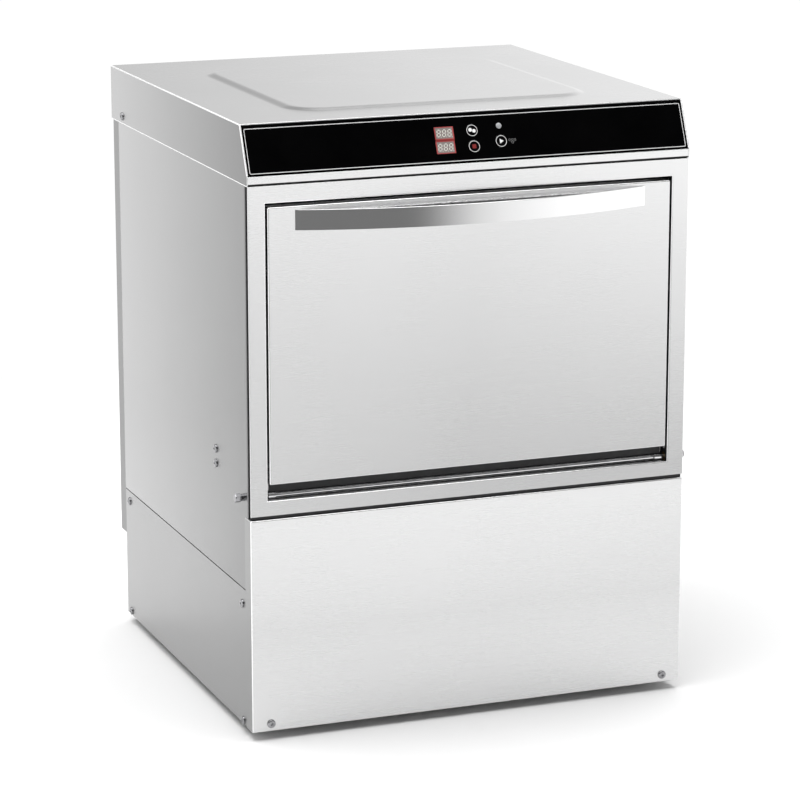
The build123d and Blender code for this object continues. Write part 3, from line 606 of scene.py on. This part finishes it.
# ---- casing panels ------------------------------------------------------------------------
def build_lower_front():
    panel = tray("lower_front_panel_sheet", front_low, front_high, ("-y", "-x", "+x", "-z", "+z"))
    # The returns take the base panels' copy of the steel with its painted tone, and the folds the painted
    # highlight.
    dress(panel, steel_front, "cabinet", ["lower_front_panel"],
          sides=steel_base, folds=fold_highlight_steel)


def build_sides():
    hem, fold = 2.6 * MM, 1.2 * MM
    for side, word in ((-1, "left"), (1, "right")):
        outer = side * side_high.x
        outline = [
            (outer - side * hem, side_low.y), (outer, side_low.y),
            (outer, side_high.y), (side * side_low.x, side_high.y),
        ]
        panel = folded_sheet(
            f"side_panel_{word}_sheet", outline, lambda a, b, z: (a, b, z),
            (side_low.z, side_high.z - 2 * MM), fold, side,
        )
        dress(panel, steel_side, "cabinet", [f"side_panel_{word}"])
        outline = [(side * base_low.x, base_low.z), (outer, base_low.z), (outer, base_high.z)]
        panel = folded_sheet(
            f"lower_side_panel_{word}_sheet", outline, lambda a, z, b: (a, b, z),
            (base_low.y, base_high.y), fold, side,
        )
        dress(panel, steel_base, "cabinet", [f"lower_side_panel_{word}"])


def build_rear():
    seam, inset, strip_top = 2.0 * MM, 0.6 * MM, 104 * MM
    low = Vector((rear_low.x + inset, rear_low.y + seam, rear_low.z))
    high = Vector((rear_high.x - inset, rear_high.y, rear_high.z))
    cover = tray("rear_cover_sheet", low, high, ("+y", "-x", "+x", "-z"))
    # The side flanges take the dark rear copy of the steel painted for their shade, and the folds the
    # painted highlight.
    dress(cover, steel_side, "cabinet", ["rear_cover"],
          sides=steel_rear, folds=fold_highlight_steel)
    # Strips that close the corners between the lower rear panel and the lower side panels.
    bm = bmesh.new()
    inner, outer = 231.0, 247.6
    for low_x, high_x in ((-outer, -inner), (inner, outer)):
        box(bm, (low_x * MM, rear_low.y + 0.05 * MM, 12 * MM),
            (high_x * MM, rear_low.y + 1.05 * MM, strip_top))
    dress(from_bmesh("rear_corner_strips", bm), steel_side, "cabinet")


def build_frame():
    """The surround of the door: a folded section carried round four mitred corners."""
    sheet, fold, lip_top, lip_low = 1.2 * MM, 1.3 * MM, 9 * MM, 6 * MM
    open_x, open_low, open_top = 230.3 * MM, 263.5 * MM, 579.0 * MM
    back, hem, seam, edge_round, narrower = 14 * MM, 3.5 * MM, 0.9 * MM, 0.6 * MM, 0.6
    # Each point: which edge it is measured from, distance into the sheet's face, and depth.
    section = [("in", 0.0, None)]
    for step in range(6):
        turn = math.radians(90 * step / 5)
        section.append(("in", fold * (1 - math.cos(turn)), fold * (1 - math.sin(turn))))
    for step in range(6):
        turn = math.radians(90 * step / 5)
        section.append(("out", edge_round * (1 - math.sin(turn)), edge_round * (1 - math.cos(turn))))
    section += [("out", 0.0, sheet), ("out", hem, sheet), ("out", hem, back)]
    section += [("out", hem + sheet, back), ("out", hem + sheet, sheet), ("in", sheet, sheet)]
    section += [("in", sheet, None)]
    loops = []
    for edge, offset, depth in section:
        loop = []
        for sx, sz in ((-1, -1), (1, -1), (1, 1), (-1, 1)):
            if edge == "in":
                x = sx * (open_x + offset)
                z = open_top + offset if sz > 0 else open_low - offset
            else:
                x = sx * (frame_high.x - offset)
                rim = seam + offset * narrower
                z = frame_high.z - rim if sz > 0 else frame_low.z + rim
            y = FRONT + (depth if depth is not None else (lip_top if sz > 0 else lip_low))
            loop.append((x, y, z))
        loops.append(loop)
    bm = bmesh.new()
    loft(bm, loops, wrap=True)
    surround = from_bmesh("door_frame_sheet", bm)
    # The returns that look left or right take the painted shade, and the folds the painted highlight.
    dress(surround, steel_door, "cabinet", ["door_frame"], edge=0.15 * MM,
          sides=return_painted_shade, folds=fold_highlight_steel)
    # Dark rubber strips behind the joints under the hood and above the lower panel: painted shade, so that
    # the gaps read black.
    shade_strips = bmesh.new()
    reach = 248.4 * MM
    for z_low, z_high in ((595.9, 602.5), (243.6, 247.2)):
        box(shade_strips, (-reach, at_depth(2.2), z_low * MM), (reach, at_depth(4.2), z_high * MM))
    dress(from_bmesh("seam_painted_shade_strips", shade_strips), seal_rubber, "cabinet", edge=0.5 * MM)


def build_hood():
    """Top, skirts and raised panel; then the folded strip that carries the fascia."""
    half, top, base = hood_high.x, HOOD_TOP, hood_low.z
    back, run = hood_high.y, SLOPE_O.y + SLOPE_LENGTH * SLOPE_V.y
    bm = bmesh.new()
    side_line = [(FRONT, base), (FRONT, SLOPE_O.z), (run, top), (back, top), (back, base)]
    left_verts = [bm.verts.new((-half, y, z)) for y, z in side_line]
    right_verts = [bm.verts.new((half, y, z)) for y, z in side_line]
    bm.faces.new(left_verts)
    bm.faces.new(right_verts)
    bm.faces.new((left_verts[2], left_verts[3], right_verts[3], right_verts[2]))
    bm.faces.new((left_verts[3], left_verts[4], right_verts[4], right_verts[3]))
    bmesh.ops.recalc_face_normals(bm, faces=bm.faces)
    folds = [e for e in bm.edges if len(e.link_faces) == 2]
    bmesh.ops.bevel(bm, geom=folds, offset=2.0 * MM, segments=5, affect="EDGES", profile=0.5)
    # Half width, half depth and corner radius of the raised panel, at its foot and on top.
    raised_low, raised_high, rise = (175, 163, 42), (163, 151, 30), 2.5 * MM
    middle, steps = (76.0 + 398.0) / 2, 8
    rings = []
    for step in range(steps + 1):
        part = step / steps
        hx, hy, r = (a + (b - a) * part for a, b in zip(raised_low, raised_high))
        rings.append([(x * MM, at_depth(middle + y), top + rise * eased(part))
                      for x, y in rounded_rectangle(hx, hy, r)])
    press_field(bm, 2, rings)
    hood = from_bmesh("hood_sheet", bm)
    thicken(hood)
    face_out(hood, (0, 0, 1))
    # The skirts take a copy of the steel with painted shading, and the folds the painted highlight.
    dress(hood, steel_top, "cabinet", ["hood_cover"], angle=60,
          sides=steel_hood_side, folds=hood_fold_highlight)

    line = []
    for v, n in ((SLOPE_LENGTH, 0.0), (SLOPE_LENGTH - 1.1 * MM, 0.0),
                 (SLOPE_LENGTH - 1.1 * MM, -PLATE), (0.0, -PLATE)):
        point = SLOPE_O + SLOPE_V * v + SLOPE_N * n
        line.append((point.y, point.z))
    line.insert(0, (line[0][0] + 1.0 * MM, line[0][1]))
    line += [(FRONT, SLOPE_O.z), (FRONT, SLOPE_O.z - 8 * MM)]
    strip = folded_sheet(
        "hood_front_strip", line, lambda a, b, x: (x, a, b),
        (-half + 1.05 * MM, half - 1.05 * MM), 0.5 * MM, thick=0.8 * MM,
    )
    dress(strip, steel_door, "cabinet", ["hood_cover"], edge=0.12 * MM)

    # Rolled hems: along the foot of each skirt, and up the slope beside the fascia, in the bright steel of
    # the painted highlight.
    bm = bmesh.new()
    foot, round_off = base + 0.7 * MM, 0.5 * MM
    runs = [(Vector((0, FRONT + 0.4 * MM, foot)), Vector((0, back - 0.4 * MM, foot))),
            (SLOPE_O + SLOPE_V * 0.6 * MM, SLOPE_O + SLOPE_V * (SLOPE_LENGTH - 1.2 * MM))]
    for side in (-1, 1):
        for start, end in runs:
            along = (end - start).normalized()
            across = Vector((0, -along.z, along.y))
            rings = []
            for at, swell in ((start, 0.4), (start + along * round_off, 1.0),
                              (end - along * round_off, 1.0), (end, 0.4)):
                ring = []
                for x, rise in circle(swell, (0, 0), 12):
                    x = side * (half - 0.65 * MM + 0.95 * MM * x)
                    ring.append(Vector((x, at.y, at.z)) + across * 0.75 * MM * rise)
                rings.append(ring)
            loft(bm, rings, caps=True)
    dress(from_bmesh("hood_hems", bm), hood_fold_highlight, "cabinet", ["hood_cover"], edge=0)


# ---- door ---------------------------------------------------------------------------------
def build_door():
    skin = tray("door_skin_sheet", skin_low, skin_high, ("-y", "-x", "+x", "-z", "+z"),
                low_return=9.5 * MM)
    # The folds of the skin take the painted highlight.
    dress(skin, steel_door, "door", ["door_outer_skin"], folds=fold_highlight_steel)
    # A dark rubber strip on the pan's lip: painted shade for the recess under the door's skin.
    strip = bmesh.new()
    box(strip, (pan_low.x + 0.8 * MM, at_depth(DOOR_LIP - 0.5), pan_low.z + 0.8 * MM),
        (pan_high.x - 0.8 * MM, at_depth(DOOR_LIP), skin_low.z - 0.3 * MM))
    dress(from_bmesh("door_lip_painted_shade", strip), seal_rubber, "door",
          edge=0.4 * MM, segments=3)
    bm = bmesh.new()
    low = Vector((pan_low.x, at_depth(DOOR_LIP), pan_low.z))
    high = Vector(pan_high)
    corners = [(low.x, low.z), (high.x, low.z), (high.x, high.z), (low.x, high.z)]
    fore = [bm.verts.new((x, low.y, z)) for x, z in corners]
    aft = [bm.verts.new((x, high.y, z)) for x, z in corners]
    for i in range(4):
        j = (i + 1) % 4
        bm.faces.new((fore[i], fore[j], aft[j], aft[i]))
    bm.faces.new(aft)
    lip = [bm.verts.new((x, low.y, skin_low.z - SHEET)) for x in (high.x, low.x)]
    bm.faces.new((fore[0], fore[1], *lip))
    folds = [e for e in bm.edges if len(e.link_faces) == 2]
    bmesh.ops.bevel(bm, geom=folds, offset=3 * MM, segments=5, affect="EDGES", profile=0.5)
    # A pressed field, so that the pan is stiff and water runs off it.
    mid_z, half_z, sink, steps = (low.z + high.z) / 2, (high.z - low.z) / 2, 2.2 * MM, 6
    rings = []
    for step in range(steps + 1):
        part = step / steps
        inset = (24 + 7 * part) * MM
        field = rounded_rectangle(high.x - inset, half_z - inset, (26 - 6 * part) * MM, 8)
        rings.append([(x, high.y - sink * eased(part), mid_z + z) for x, z in field])
    press_field(bm, 1, rings)
    pan = from_bmesh("door_pan_sheet", bm)
    face_out(pan, (0, 1, 0))
    thicken(pan)
    dress(pan, steel_tank, "door", ["door_inner_skin"], angle=60)


def build_handle():
    """Bowed polished strip with a folded top, open below."""
    half, bow, sheet, fold = handle_high.x, FRONT - handle_low.y, 1.5 * MM, 0.7 * MM
    low, top = handle_low.z, handle_high.z
    radius = (half * half + bow * bow) / (2 * bow)
    rows = []
    steps = 96
    for i in range(steps + 1):
        x = -half + 0.6 * MM + (2 * half - 1.2 * MM) * i / steps
        depth = math.sqrt(radius * radius - x * x) - (radius - bow)
        face = FRONT - depth
        bend = min(fold, depth * 0.45)
        wall = min(sheet, depth * 0.6)
        line = [(face, low), (face, top - bend)]
        for step in range(1, 6):
            turn = math.radians(90 * step / 5)
            line.append((face + bend * (1 - math.cos(turn)), top - bend + bend * math.sin(turn)))
        line += [(FRONT - 0.02 * MM, top), (FRONT - 0.02 * MM, top - sheet)]
        line += [(face + wall, top - sheet), (face + wall, low)]
        rows.append([(x, y, z) for y, z in line])
    bm = bmesh.new()
    loft(bm, rows, caps=True)
    handle = from_bmesh("handle_strip", bm)
    dress(handle, handle_steel, "door", ["door_handle"], edge=0.18 * MM)
    handle.data.materials.append(handle_top_steel)
    for face in handle.data.polygons:
        if face.normal.z > 0.7:
            face.material_index = 3


# ---- fasteners ----------------------------------------------------------------------------
def pan_head():
    """A pan head with a cross recess, its seat at the origin and its top towards +Z."""
    r, h = 4.6 * MM, 2.4 * MM
    shoulder, crown_x, crown_z = h * 0.35, 1.9 * MM, 1.3 * MM
    profile = [(2.6 * MM, -0.02 * MM), (r, 0.0), (r, shoulder)]
    for step in range(1, 8):
        turn = math.radians(90 * step / 7)
        profile.append((r - crown_x * (1 - math.cos(turn)), shoulder + crown_z * math.sin(turn)))
    profile += [(1.5 * MM, h), (0.0, h + 0.02 * MM)]
    head = turned("head", profile, Matrix.Identity(4), 36)
    bm = bmesh.new()
    for turn in (0, 90):
        made = bmesh.ops.create_cube(bm, size=1.0)["verts"]
        for vert in made:
            taper = 0.45 if vert.co.z < 0 else 1.0
            vert.co = Vector((vert.co.x * 5.0 * MM * taper, vert.co.y * MM, h + vert.co.z * 3.2 * MM))
        spin = Matrix.Rotation(math.radians(turn), 3, "Z")
        bmesh.ops.rotate(bm, verts=made, cent=(0, 0, 0), matrix=spin)
    cutter = from_bmesh("cutter", bm)
    return cut(head, [cutter])


def on_side(side, x, depth, z):
    """A place on the cabinet's left or right, with +Z out of it; depth and z are in millimetres."""
    out = Matrix.Rotation(math.radians(90 * side), 4, "Y")
    return Matrix.Translation((side * x, at_depth(depth), z * MM)) @ out


def build_fasteners():
    # Depth and height of the screws on each side.
    spots = [(33.0, 14.3), (33.0, 145.0), (449.0, 15.8), (449.0, 150.0), (117.0, 278.3), (117.0, 294.4)]
    places = []
    for side in (-1, 1):
        for i, (depth, z) in enumerate(spots):
            spin = Matrix.Rotation(math.radians(17 + 37 * i), 4, "Z")
            places.append(on_side(side, side_high.x, depth, z) @ spin)
        places.append(on_side(side, hood_high.x, 445, 606))
        front = Matrix.Rotation(math.radians(90), 4, "X") @ Matrix.Rotation(0.4 + side, 4, "Z")
        places.append(Matrix.Translation((side * 229 * MM, FRONT, 18.5 * MM)) @ front)
    screws = copies("pan_head_screws", pan_head(), places)
    dress(screws, screw_steel, "cabinet", ["casing_screws"], edge=0.1 * MM)

    # Bolts with a collar; the corners of the hexagon are turned off at its end.
    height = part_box("hinge_bolts")[1].x - side_high.x
    washer = COLLAR - 0.1 * MM
    neck, rim, corner, tip = 3.8 * MM, 4.9 * MM, 5.0 * MM, 4.25 * MM
    levels = [(0.0, neck), (washer, neck), (washer, rim), (COLLAR, rim)]
    levels += [(COLLAR, corner), (height - 1.0 * MM, corner), (height, tip)]
    rings = []
    for z, limit in levels:
        ring = []
        for i in range(72):
            turn = math.radians(5 * i)
            r = min(HEX_ACROSS / math.cos(math.radians(5 * i % 60 - 30)), limit)
            ring.append((r * math.cos(turn), r * math.sin(turn), z))
        rings.append(ring)
    bm = bmesh.new()
    loft(bm, rings, caps=True)
    places = [on_side(side, side_high.x, 22, 264.5) for side in (-1, 1)]
    bolts = copies("hinge_bolt_heads", from_bmesh("bolt", bm), places)
    dress(bolts, screw_steel, "cabinet", ["hinge_bolts"], edge=0.15 * MM)


# ---- fascia -------------------------------------------------------------------------------
def on_slope(name, bm):
    bmesh.ops.transform(bm, matrix=SLOPE, verts=bm.verts)
    return from_bmesh(name, bm)


DISPLAYS = [(-27.9, 33.4), (-28.3, 18.2)]
DISPLAY_SIZE = (21.4, 13.6)
SEGMENTS = {  # centre and whether upright, in units of half a digit
    "top": (0, 1, False), "mid": (0, 0, False), "low": (0, -1, False),
    "ul": (-1, 0.5, True), "ur": (1, 0.5, True), "ll": (-1, -0.5, True), "lr": (1, -0.5, True),
}


def key_centre(node):
    low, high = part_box(node)
    offset = (low + high) / 2 - SLOPE_O
    return offset.x / MM, offset.dot(SLOPE_V) / MM


def build_fascia():
    soften("control_fascia", fascia_black, 0.35 * MM)
    # Border line and the small spray mark beside the start key.
    bm = bmesh.new()
    mid_v, half_v = (2.4 + 50.6) / 2, (50.6 - 2.4) / 2
    outer = moved(rounded_rectangle(246.2, half_v, 1.6, 5), 0, mid_v)
    inner = moved(rounded_rectangle(245.5, half_v - 0.75, 1.0, 5), 0, mid_v)
    skin = 0.05 * MM
    band(bm, scale(outer), scale(inner), -skin, skin)
    border = on_slope("border_print", bm)
    dress(border, ink_silver, "cabinet", edge=0)

    bm = bmesh.new()
    for x in (44.3, 47.4, 50.5):
        band(bm, scale(circle(1.15, (x, 21.9), 20)), scale(circle(0.85, (x, 21.9), 20)), -skin, skin)
    left, right, foot = Vector((45.6, 20.2)), Vector((49.2, 20.2)), Vector((47.4, 17.6))
    for a, b in ((left, foot), (right, foot), (left, right)):
        side = Vector((-(b - a).y, (b - a).x)).normalized() * 0.16
        prism(bm, scale([a - side, b - side, b + side, a + side]), -skin, skin)
    mark = on_slope("spray_mark_print", bm)
    dress(mark, ink_grey, "cabinet", edge=0)

    # Keys: a cap with a rounded edge, a printed ring and a symbol.
    r = KEY_RADIUS
    profile = [(r - 0.4 * MM, -5.2 * MM), (r, -4.8 * MM), (r, -0.1 * MM), (r - 0.1 * MM, 0.2 * MM)]
    profile += [(r - 0.35 * MM, 0.38 * MM), (r - 1.5 * MM, 0.4 * MM)]
    profile += [(r - 3 * MM, 0.4 * MM), (0.0, 0.4 * MM)]
    for word in ("program", "power", "start"):
        node, body = "button_" + word, word + "_key"
        x, v = key_centre(node)
        cap = turned(node + "_cap", profile, SLOPE @ Matrix.Translation((x * MM, v * MM, 0)), 64)
        dress(cap, key_black, body, [node], edge=0)
        bm = bmesh.new()
        top = (0.39 * MM, 0.45 * MM)
        band(bm, scale(circle(6.1, (x, v), 56)), scale(circle(5.62, (x, v), 56)), *top)
        if node == "button_start":
            prism(bm, scale(moved([(-1.6, 2.5), (-1.6, -2.5), (2.6, 0.0)], x, v)), *top)
        if node == "button_program":
            prism(bm, scale(circle(2.05, (x - 2.0, v + 0.75), 28)), *top)
            prism(bm, scale(circle(1.95, (x + 2.1, v - 0.55), 28)), *top)
        ring = on_slope(node + "_print", bm)
        dress(ring, ink_white, body, edge=0)
        if node == "button_power":
            bm = bmesh.new()
            prism(bm, scale(moved(rounded_rectangle(2.2, 2.2, 0.7, 4), x, v)), *top)
            dress(on_slope("button_power_symbol", bm), ink_red, body, edge=0)

    # Displays: a red frame, a grey reflector and three unlit digits in each.
    soften("display_modules", plastic_dark, 0.2 * MM)
    frames, faces, digits = bmesh.new(), bmesh.new(), bmesh.new()
    digit_low, digit_high = -0.31 * MM, -0.26 * MM
    for x, v in DISPLAYS:
        hx, hv = DISPLAY_SIZE[0] / 2, DISPLAY_SIZE[1] / 2
        outer = moved(rounded_rectangle(hx, hv, 0.4, 3), x, v)
        inner = moved(rounded_rectangle(hx - 1.2, hv - 0.9, 0.3, 3), x, v)
        band(frames, scale(outer), scale(inner), -0.52 * MM, -0.12 * MM)
        prism(faces, scale(inner), -0.5 * MM, -0.3 * MM)
        for column in (-1, 0, 1):
            cx = x + column * 6.1
            for ox, oy, upright in SEGMENTS.values():
                ax, ay = cx + ox * 1.75 + oy * 0.45, v + oy * 3.55
                length, thin = 2.9 if upright else 2.7, 0.5
                hexagon = [(-length / 2 + thin, thin), (-length / 2, 0), (-length / 2 + thin, -thin),
                           (length / 2 - thin, -thin), (length / 2, 0), (length / 2 - thin, thin)]
                if upright:
                    hexagon = [(-b + a * 0.12, a) for a, b in hexagon]
                prism(digits, scale(moved(hexagon, ax, ay)), digit_low, digit_high)
            prism(digits, scale(circle(0.42, (cx + 2.35, v - 4.1), 14)), digit_low, digit_high)
    divider = bmesh.new()
    (x, upper), lower = DISPLAYS[0], DISPLAYS[1][1]
    half_v = DISPLAY_SIZE[1] / 2
    prism(divider, scale([(x - 10.9, lower + half_v), (x + 10.5, lower + half_v),
                          (x + 10.7, upper - half_v), (x - 10.7, upper - half_v)]), -skin, skin)
    for name, bm, finish, edge in (
        ("display_divider", divider, ink_red, 0), ("display_frames", frames, window_red, 0.08 * MM),
        ("display_reflectors", faces, window_grey, 0), ("display_digits", digits, ink_digit, 0),
    ):
        dress(on_slope(name, bm), finish, "cabinet", edge=edge)

    # Lamp: a domed lens.
    x, v = key_centre("indicator_lamp")
    r = LAMP_RADIUS
    profile = [(r, -7 * MM), (r, -0.4 * MM)]
    for step in range(1, 8):
        turn = math.radians(90 * step / 7)
        profile.append((r * math.cos(turn), -0.4 * MM + 0.9 * MM * math.sin(turn)))
    lamp = turned("lamp_lens", profile, SLOPE @ Matrix.Translation((x * MM, v * MM, 0)))
    dress(lamp, lamp_grey, "cabinet", ["indicator_lamp"], edge=0)


# ---- feet ---------------------------------------------------------------------------------
def build_feet():
    """Moulded pads on threaded stems."""
    for row in ("front", "rear"):
        for word in ("left", "right"):
            node = f"foot_{row}_{word}"
            low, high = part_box(node)
            profile = [(15.5, 0.0), (17.4, 0.25), (18.0, 1.0), (18.0, 4.6), (17.6, 5.6), (16.4, 6.2)]
            profile += [(12.0, 7.4), (9.6, 8.6), (8.2, 9.0), (4.9, 9.05), (4.9, 10.0)]
            level = 10.0
            while level < 47.0:
                profile += [(4.9, level + 0.35), (4.25, level + 0.75), (4.9, level + 1.15)]
                level += THREAD_PITCH
            profile += [(4.9, 47.4), (4.3, 48.0)]
            middle = (low + high) / 2
            place = Matrix.Translation((middle.x, middle.y, low.z))
            foot = turned(node + "_turned", scale(profile), place)
            dress(foot, plastic_dark, node, [node], edge=0)


# ---- wash chamber -------------------------------------------------------------------------
def build_chamber():
    """One folded tank with rounded corners in place of its flat walls."""
    left_low, left_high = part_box("chamber_wall_left")
    low = Vector((left_low.x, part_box("chamber_floor")[0].y, left_low.z))
    high = Vector((-left_low.x, left_high.y, left_high.z))
    tank = tray("chamber_sheet", low, high, ("-x", "+x", "+y", "-z", "+z"), radius=18 * MM, segments=8)
    sump_low, sump_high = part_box("sump_pan")
    half = sump_high.x - SHEET
    bm = bmesh.new()
    box(bm, (-half, sump_low.y + SHEET, low.z - 0.01), (half, sump_high.y - SHEET, low.z + 0.01))
    hole = from_bmesh("hole", bm)
    post = turned("post", [(12 * MM, high.z - 0.02), (12 * MM, high.z + 0.02)],
                  Matrix.Translation((0, CENTRE_Y, 0)))
    cut(tank, [hole, post])
    walls = ["chamber_wall_left", "chamber_wall_right", "chamber_back", "chamber_roof", "chamber_floor"]
    dress(tank, steel_tank, "cabinet", walls, edge=0.15 * MM, angle=60)


KEPT = {
    bright_steel: "rack_rails arm_posts lower_wash_arm upper_wash_arm riser_pipe",
    bronze: "hinge_bushes",
    copper: "rinse_pipe",
    board_green: "control_board power_board",
    hose_rubber: "pump_hoses",
    motor_paint: "pump_motor",
    plastic_blue: "overflow_standpipe",
    plastic_dark: "arm_nuts pump_volute drain_spigot cable_gland dosing_pump door_switch",
    plastic_grey: "lower_rinse_arm upper_rinse_arm",
    plastic_white: "pump_impeller inlet_valve dosing_rotor",
    rod_steel: "hinge_rod",
    screw_steel: "foot_nuts hinge_springs heating_elements",
    seal_rubber: "door_gasket",
    steel_plain: "base_frame corner_posts hinge_brackets sump_filter rinse_boiler tank_brackets "
                 "door_magnet",
    steel_side: "lower_rear_panel",
    steel_tank: "chamber_mouth sump_pan",
}


def build_kept():
    for material, nodes in KEPT.items():
        for node in nodes.split():
            soften(node, material)


build_lower_front()
build_sides()
build_rear()
build_frame()
build_hood()
build_door()
build_handle()
build_fasteners()
build_fascia()
build_feet()
build_chamber()
build_kept()


# ---- camera, light and floor --------------------------------------------------------------
def area_light(name, place, aim, size, power):
    light = bpy.data.lights.new(name, "AREA")
    light.shape = "RECTANGLE"
    light.size, light.size_y = size
    light.energy = power
    obj = bpy.data.objects.new(name, light)
    bpy.context.scene.collection.objects.link(obj)
    obj.location = place
    obj.rotation_euler = (Vector(aim) - Vector(place)).to_track_quat("-Z", "Y").to_euler()
    obj.visible_camera = False


def build_world():
    """A plain white surround for the camera; a dimmer, graded one for the light it gives."""
    world = bpy.data.worlds.new("studio")
    bpy.context.scene.world = world
    world.use_nodes = True
    nodes, links = world.node_tree.nodes, world.node_tree.links
    nodes.clear()
    coords = nodes.new("ShaderNodeTexCoord").outputs["Generated"]
    split = nodes.new("ShaderNodeSeparateXYZ")
    links.new(coords, split.inputs[0])

    def ranged(source, a, b, low, high):
        node = nodes.new("ShaderNodeMapRange")
        node.interpolation_type = "SMOOTHSTEP"
        for key, value in (("From Min", a), ("From Max", b), ("To Min", low), ("To Max", high)):
            node.inputs[key].default_value = value
        links.new(source, node.inputs["Value"])
        return node.outputs["Result"]

    def combined(kind, a, b):
        node = nodes.new("ShaderNodeMath")
        node.operation = kind
        node.inputs[0].default_value = 1.0
        if a:
            links.new(a, node.inputs[0])
        links.new(b, node.inputs[1])
        return node.outputs[0]

    def times(a, b):
        return combined("MULTIPLY", a, b)

    def lack(a):
        """One less this value."""
        return combined("SUBTRACT", None, a)

    # Dimmer high up towards the front; a dark flag at the front left; dimmer at the back left and high
    # at the back.
    dim_up = ranged(split.outputs["Z"], 0.10, 0.34, 0.0, 1.0)
    dim_front = ranged(split.outputs["Y"], 0.1, -0.45, 0.0, 0.93)
    flag_x = ranged(split.outputs["X"], 0.44, 0.10, 0.0, 1.0)
    flag_y = ranged(split.outputs["Y"], -0.72, -0.9, 0.0, 0.80)
    back = ranged(split.outputs["Y"], 0.2, 0.6, 0.0, 1.0)
    left = times(back, ranged(split.outputs["X"], 0.50, 0.10, 0.0, 1.0))
    left = times(left, ranged(split.outputs["Z"], -0.05, 0.12, 0.10, 0.52))
    level = times(lack(times(dim_up, dim_front)), lack(times(flag_x, flag_y)))
    level = times(level, lack(left))
    level = times(level, lack(times(back, ranged(split.outputs["Z"], 0.34, 0.62, 0.0, 0.42))))
    light = nodes.new("ShaderNodeBackground")
    light.inputs["Strength"].default_value = WORLD_LEVEL
    links.new(level, light.inputs["Color"])
    plain = nodes.new("ShaderNodeBackground")
    plain.inputs["Color"].default_value = (1, 1, 1, 1)
    plain.inputs["Strength"].default_value = 1.02
    path = nodes.new("ShaderNodeLightPath")
    mix = nodes.new("ShaderNodeMixShader")
    links.new(path.outputs["Is Camera Ray"], mix.inputs[0])
    links.new(light.outputs[0], mix.inputs[1])
    links.new(plain.outputs[0], mix.inputs[2])
    out = nodes.new("ShaderNodeOutputWorld")
    links.new(mix.outputs[0], out.inputs["Surface"])


def build_stage():
    camera = bpy.data.objects.new("camera", bpy.data.cameras.new("camera"))
    bpy.context.scene.collection.objects.link(camera)
    camera.data.sensor_width = SENSOR
    camera.data.lens = SENSOR * FOCAL
    camera.location = (-1.3113, -3.4111, 1.1913)
    camera.rotation_euler = (math.radians(90 - 13.698), 0.0, math.radians(-21.112))
    camera.data.clip_start, camera.data.clip_end = 0.1, 50.0
    bpy.context.scene.camera = camera
    bpy.context.scene.view_settings.view_transform = "Standard"

    bm = bmesh.new()
    bmesh.ops.create_circle(bm, cap_ends=True, segments=96, radius=FLOOR_RADIUS)
    floor = from_bmesh("floor", bm)
    floor.location.z = cad_low.z
    s = Shader("floor_white").set(Roughness=0.9)
    s.bsdf.inputs["Specular IOR Level"].default_value = 0.0
    s.colour(s.mix(s.noise((3.0, 3.0, 3.0)), (0.86, 0.86, 0.86), (0.88, 0.88, 0.88)))
    floor.data.materials.append(s.material)
    area_light("overhead", (-0.3, -0.2, 2.6), (0, -0.2, 0), (3.2, 3.2), 92.0)


build_world()
build_stage()
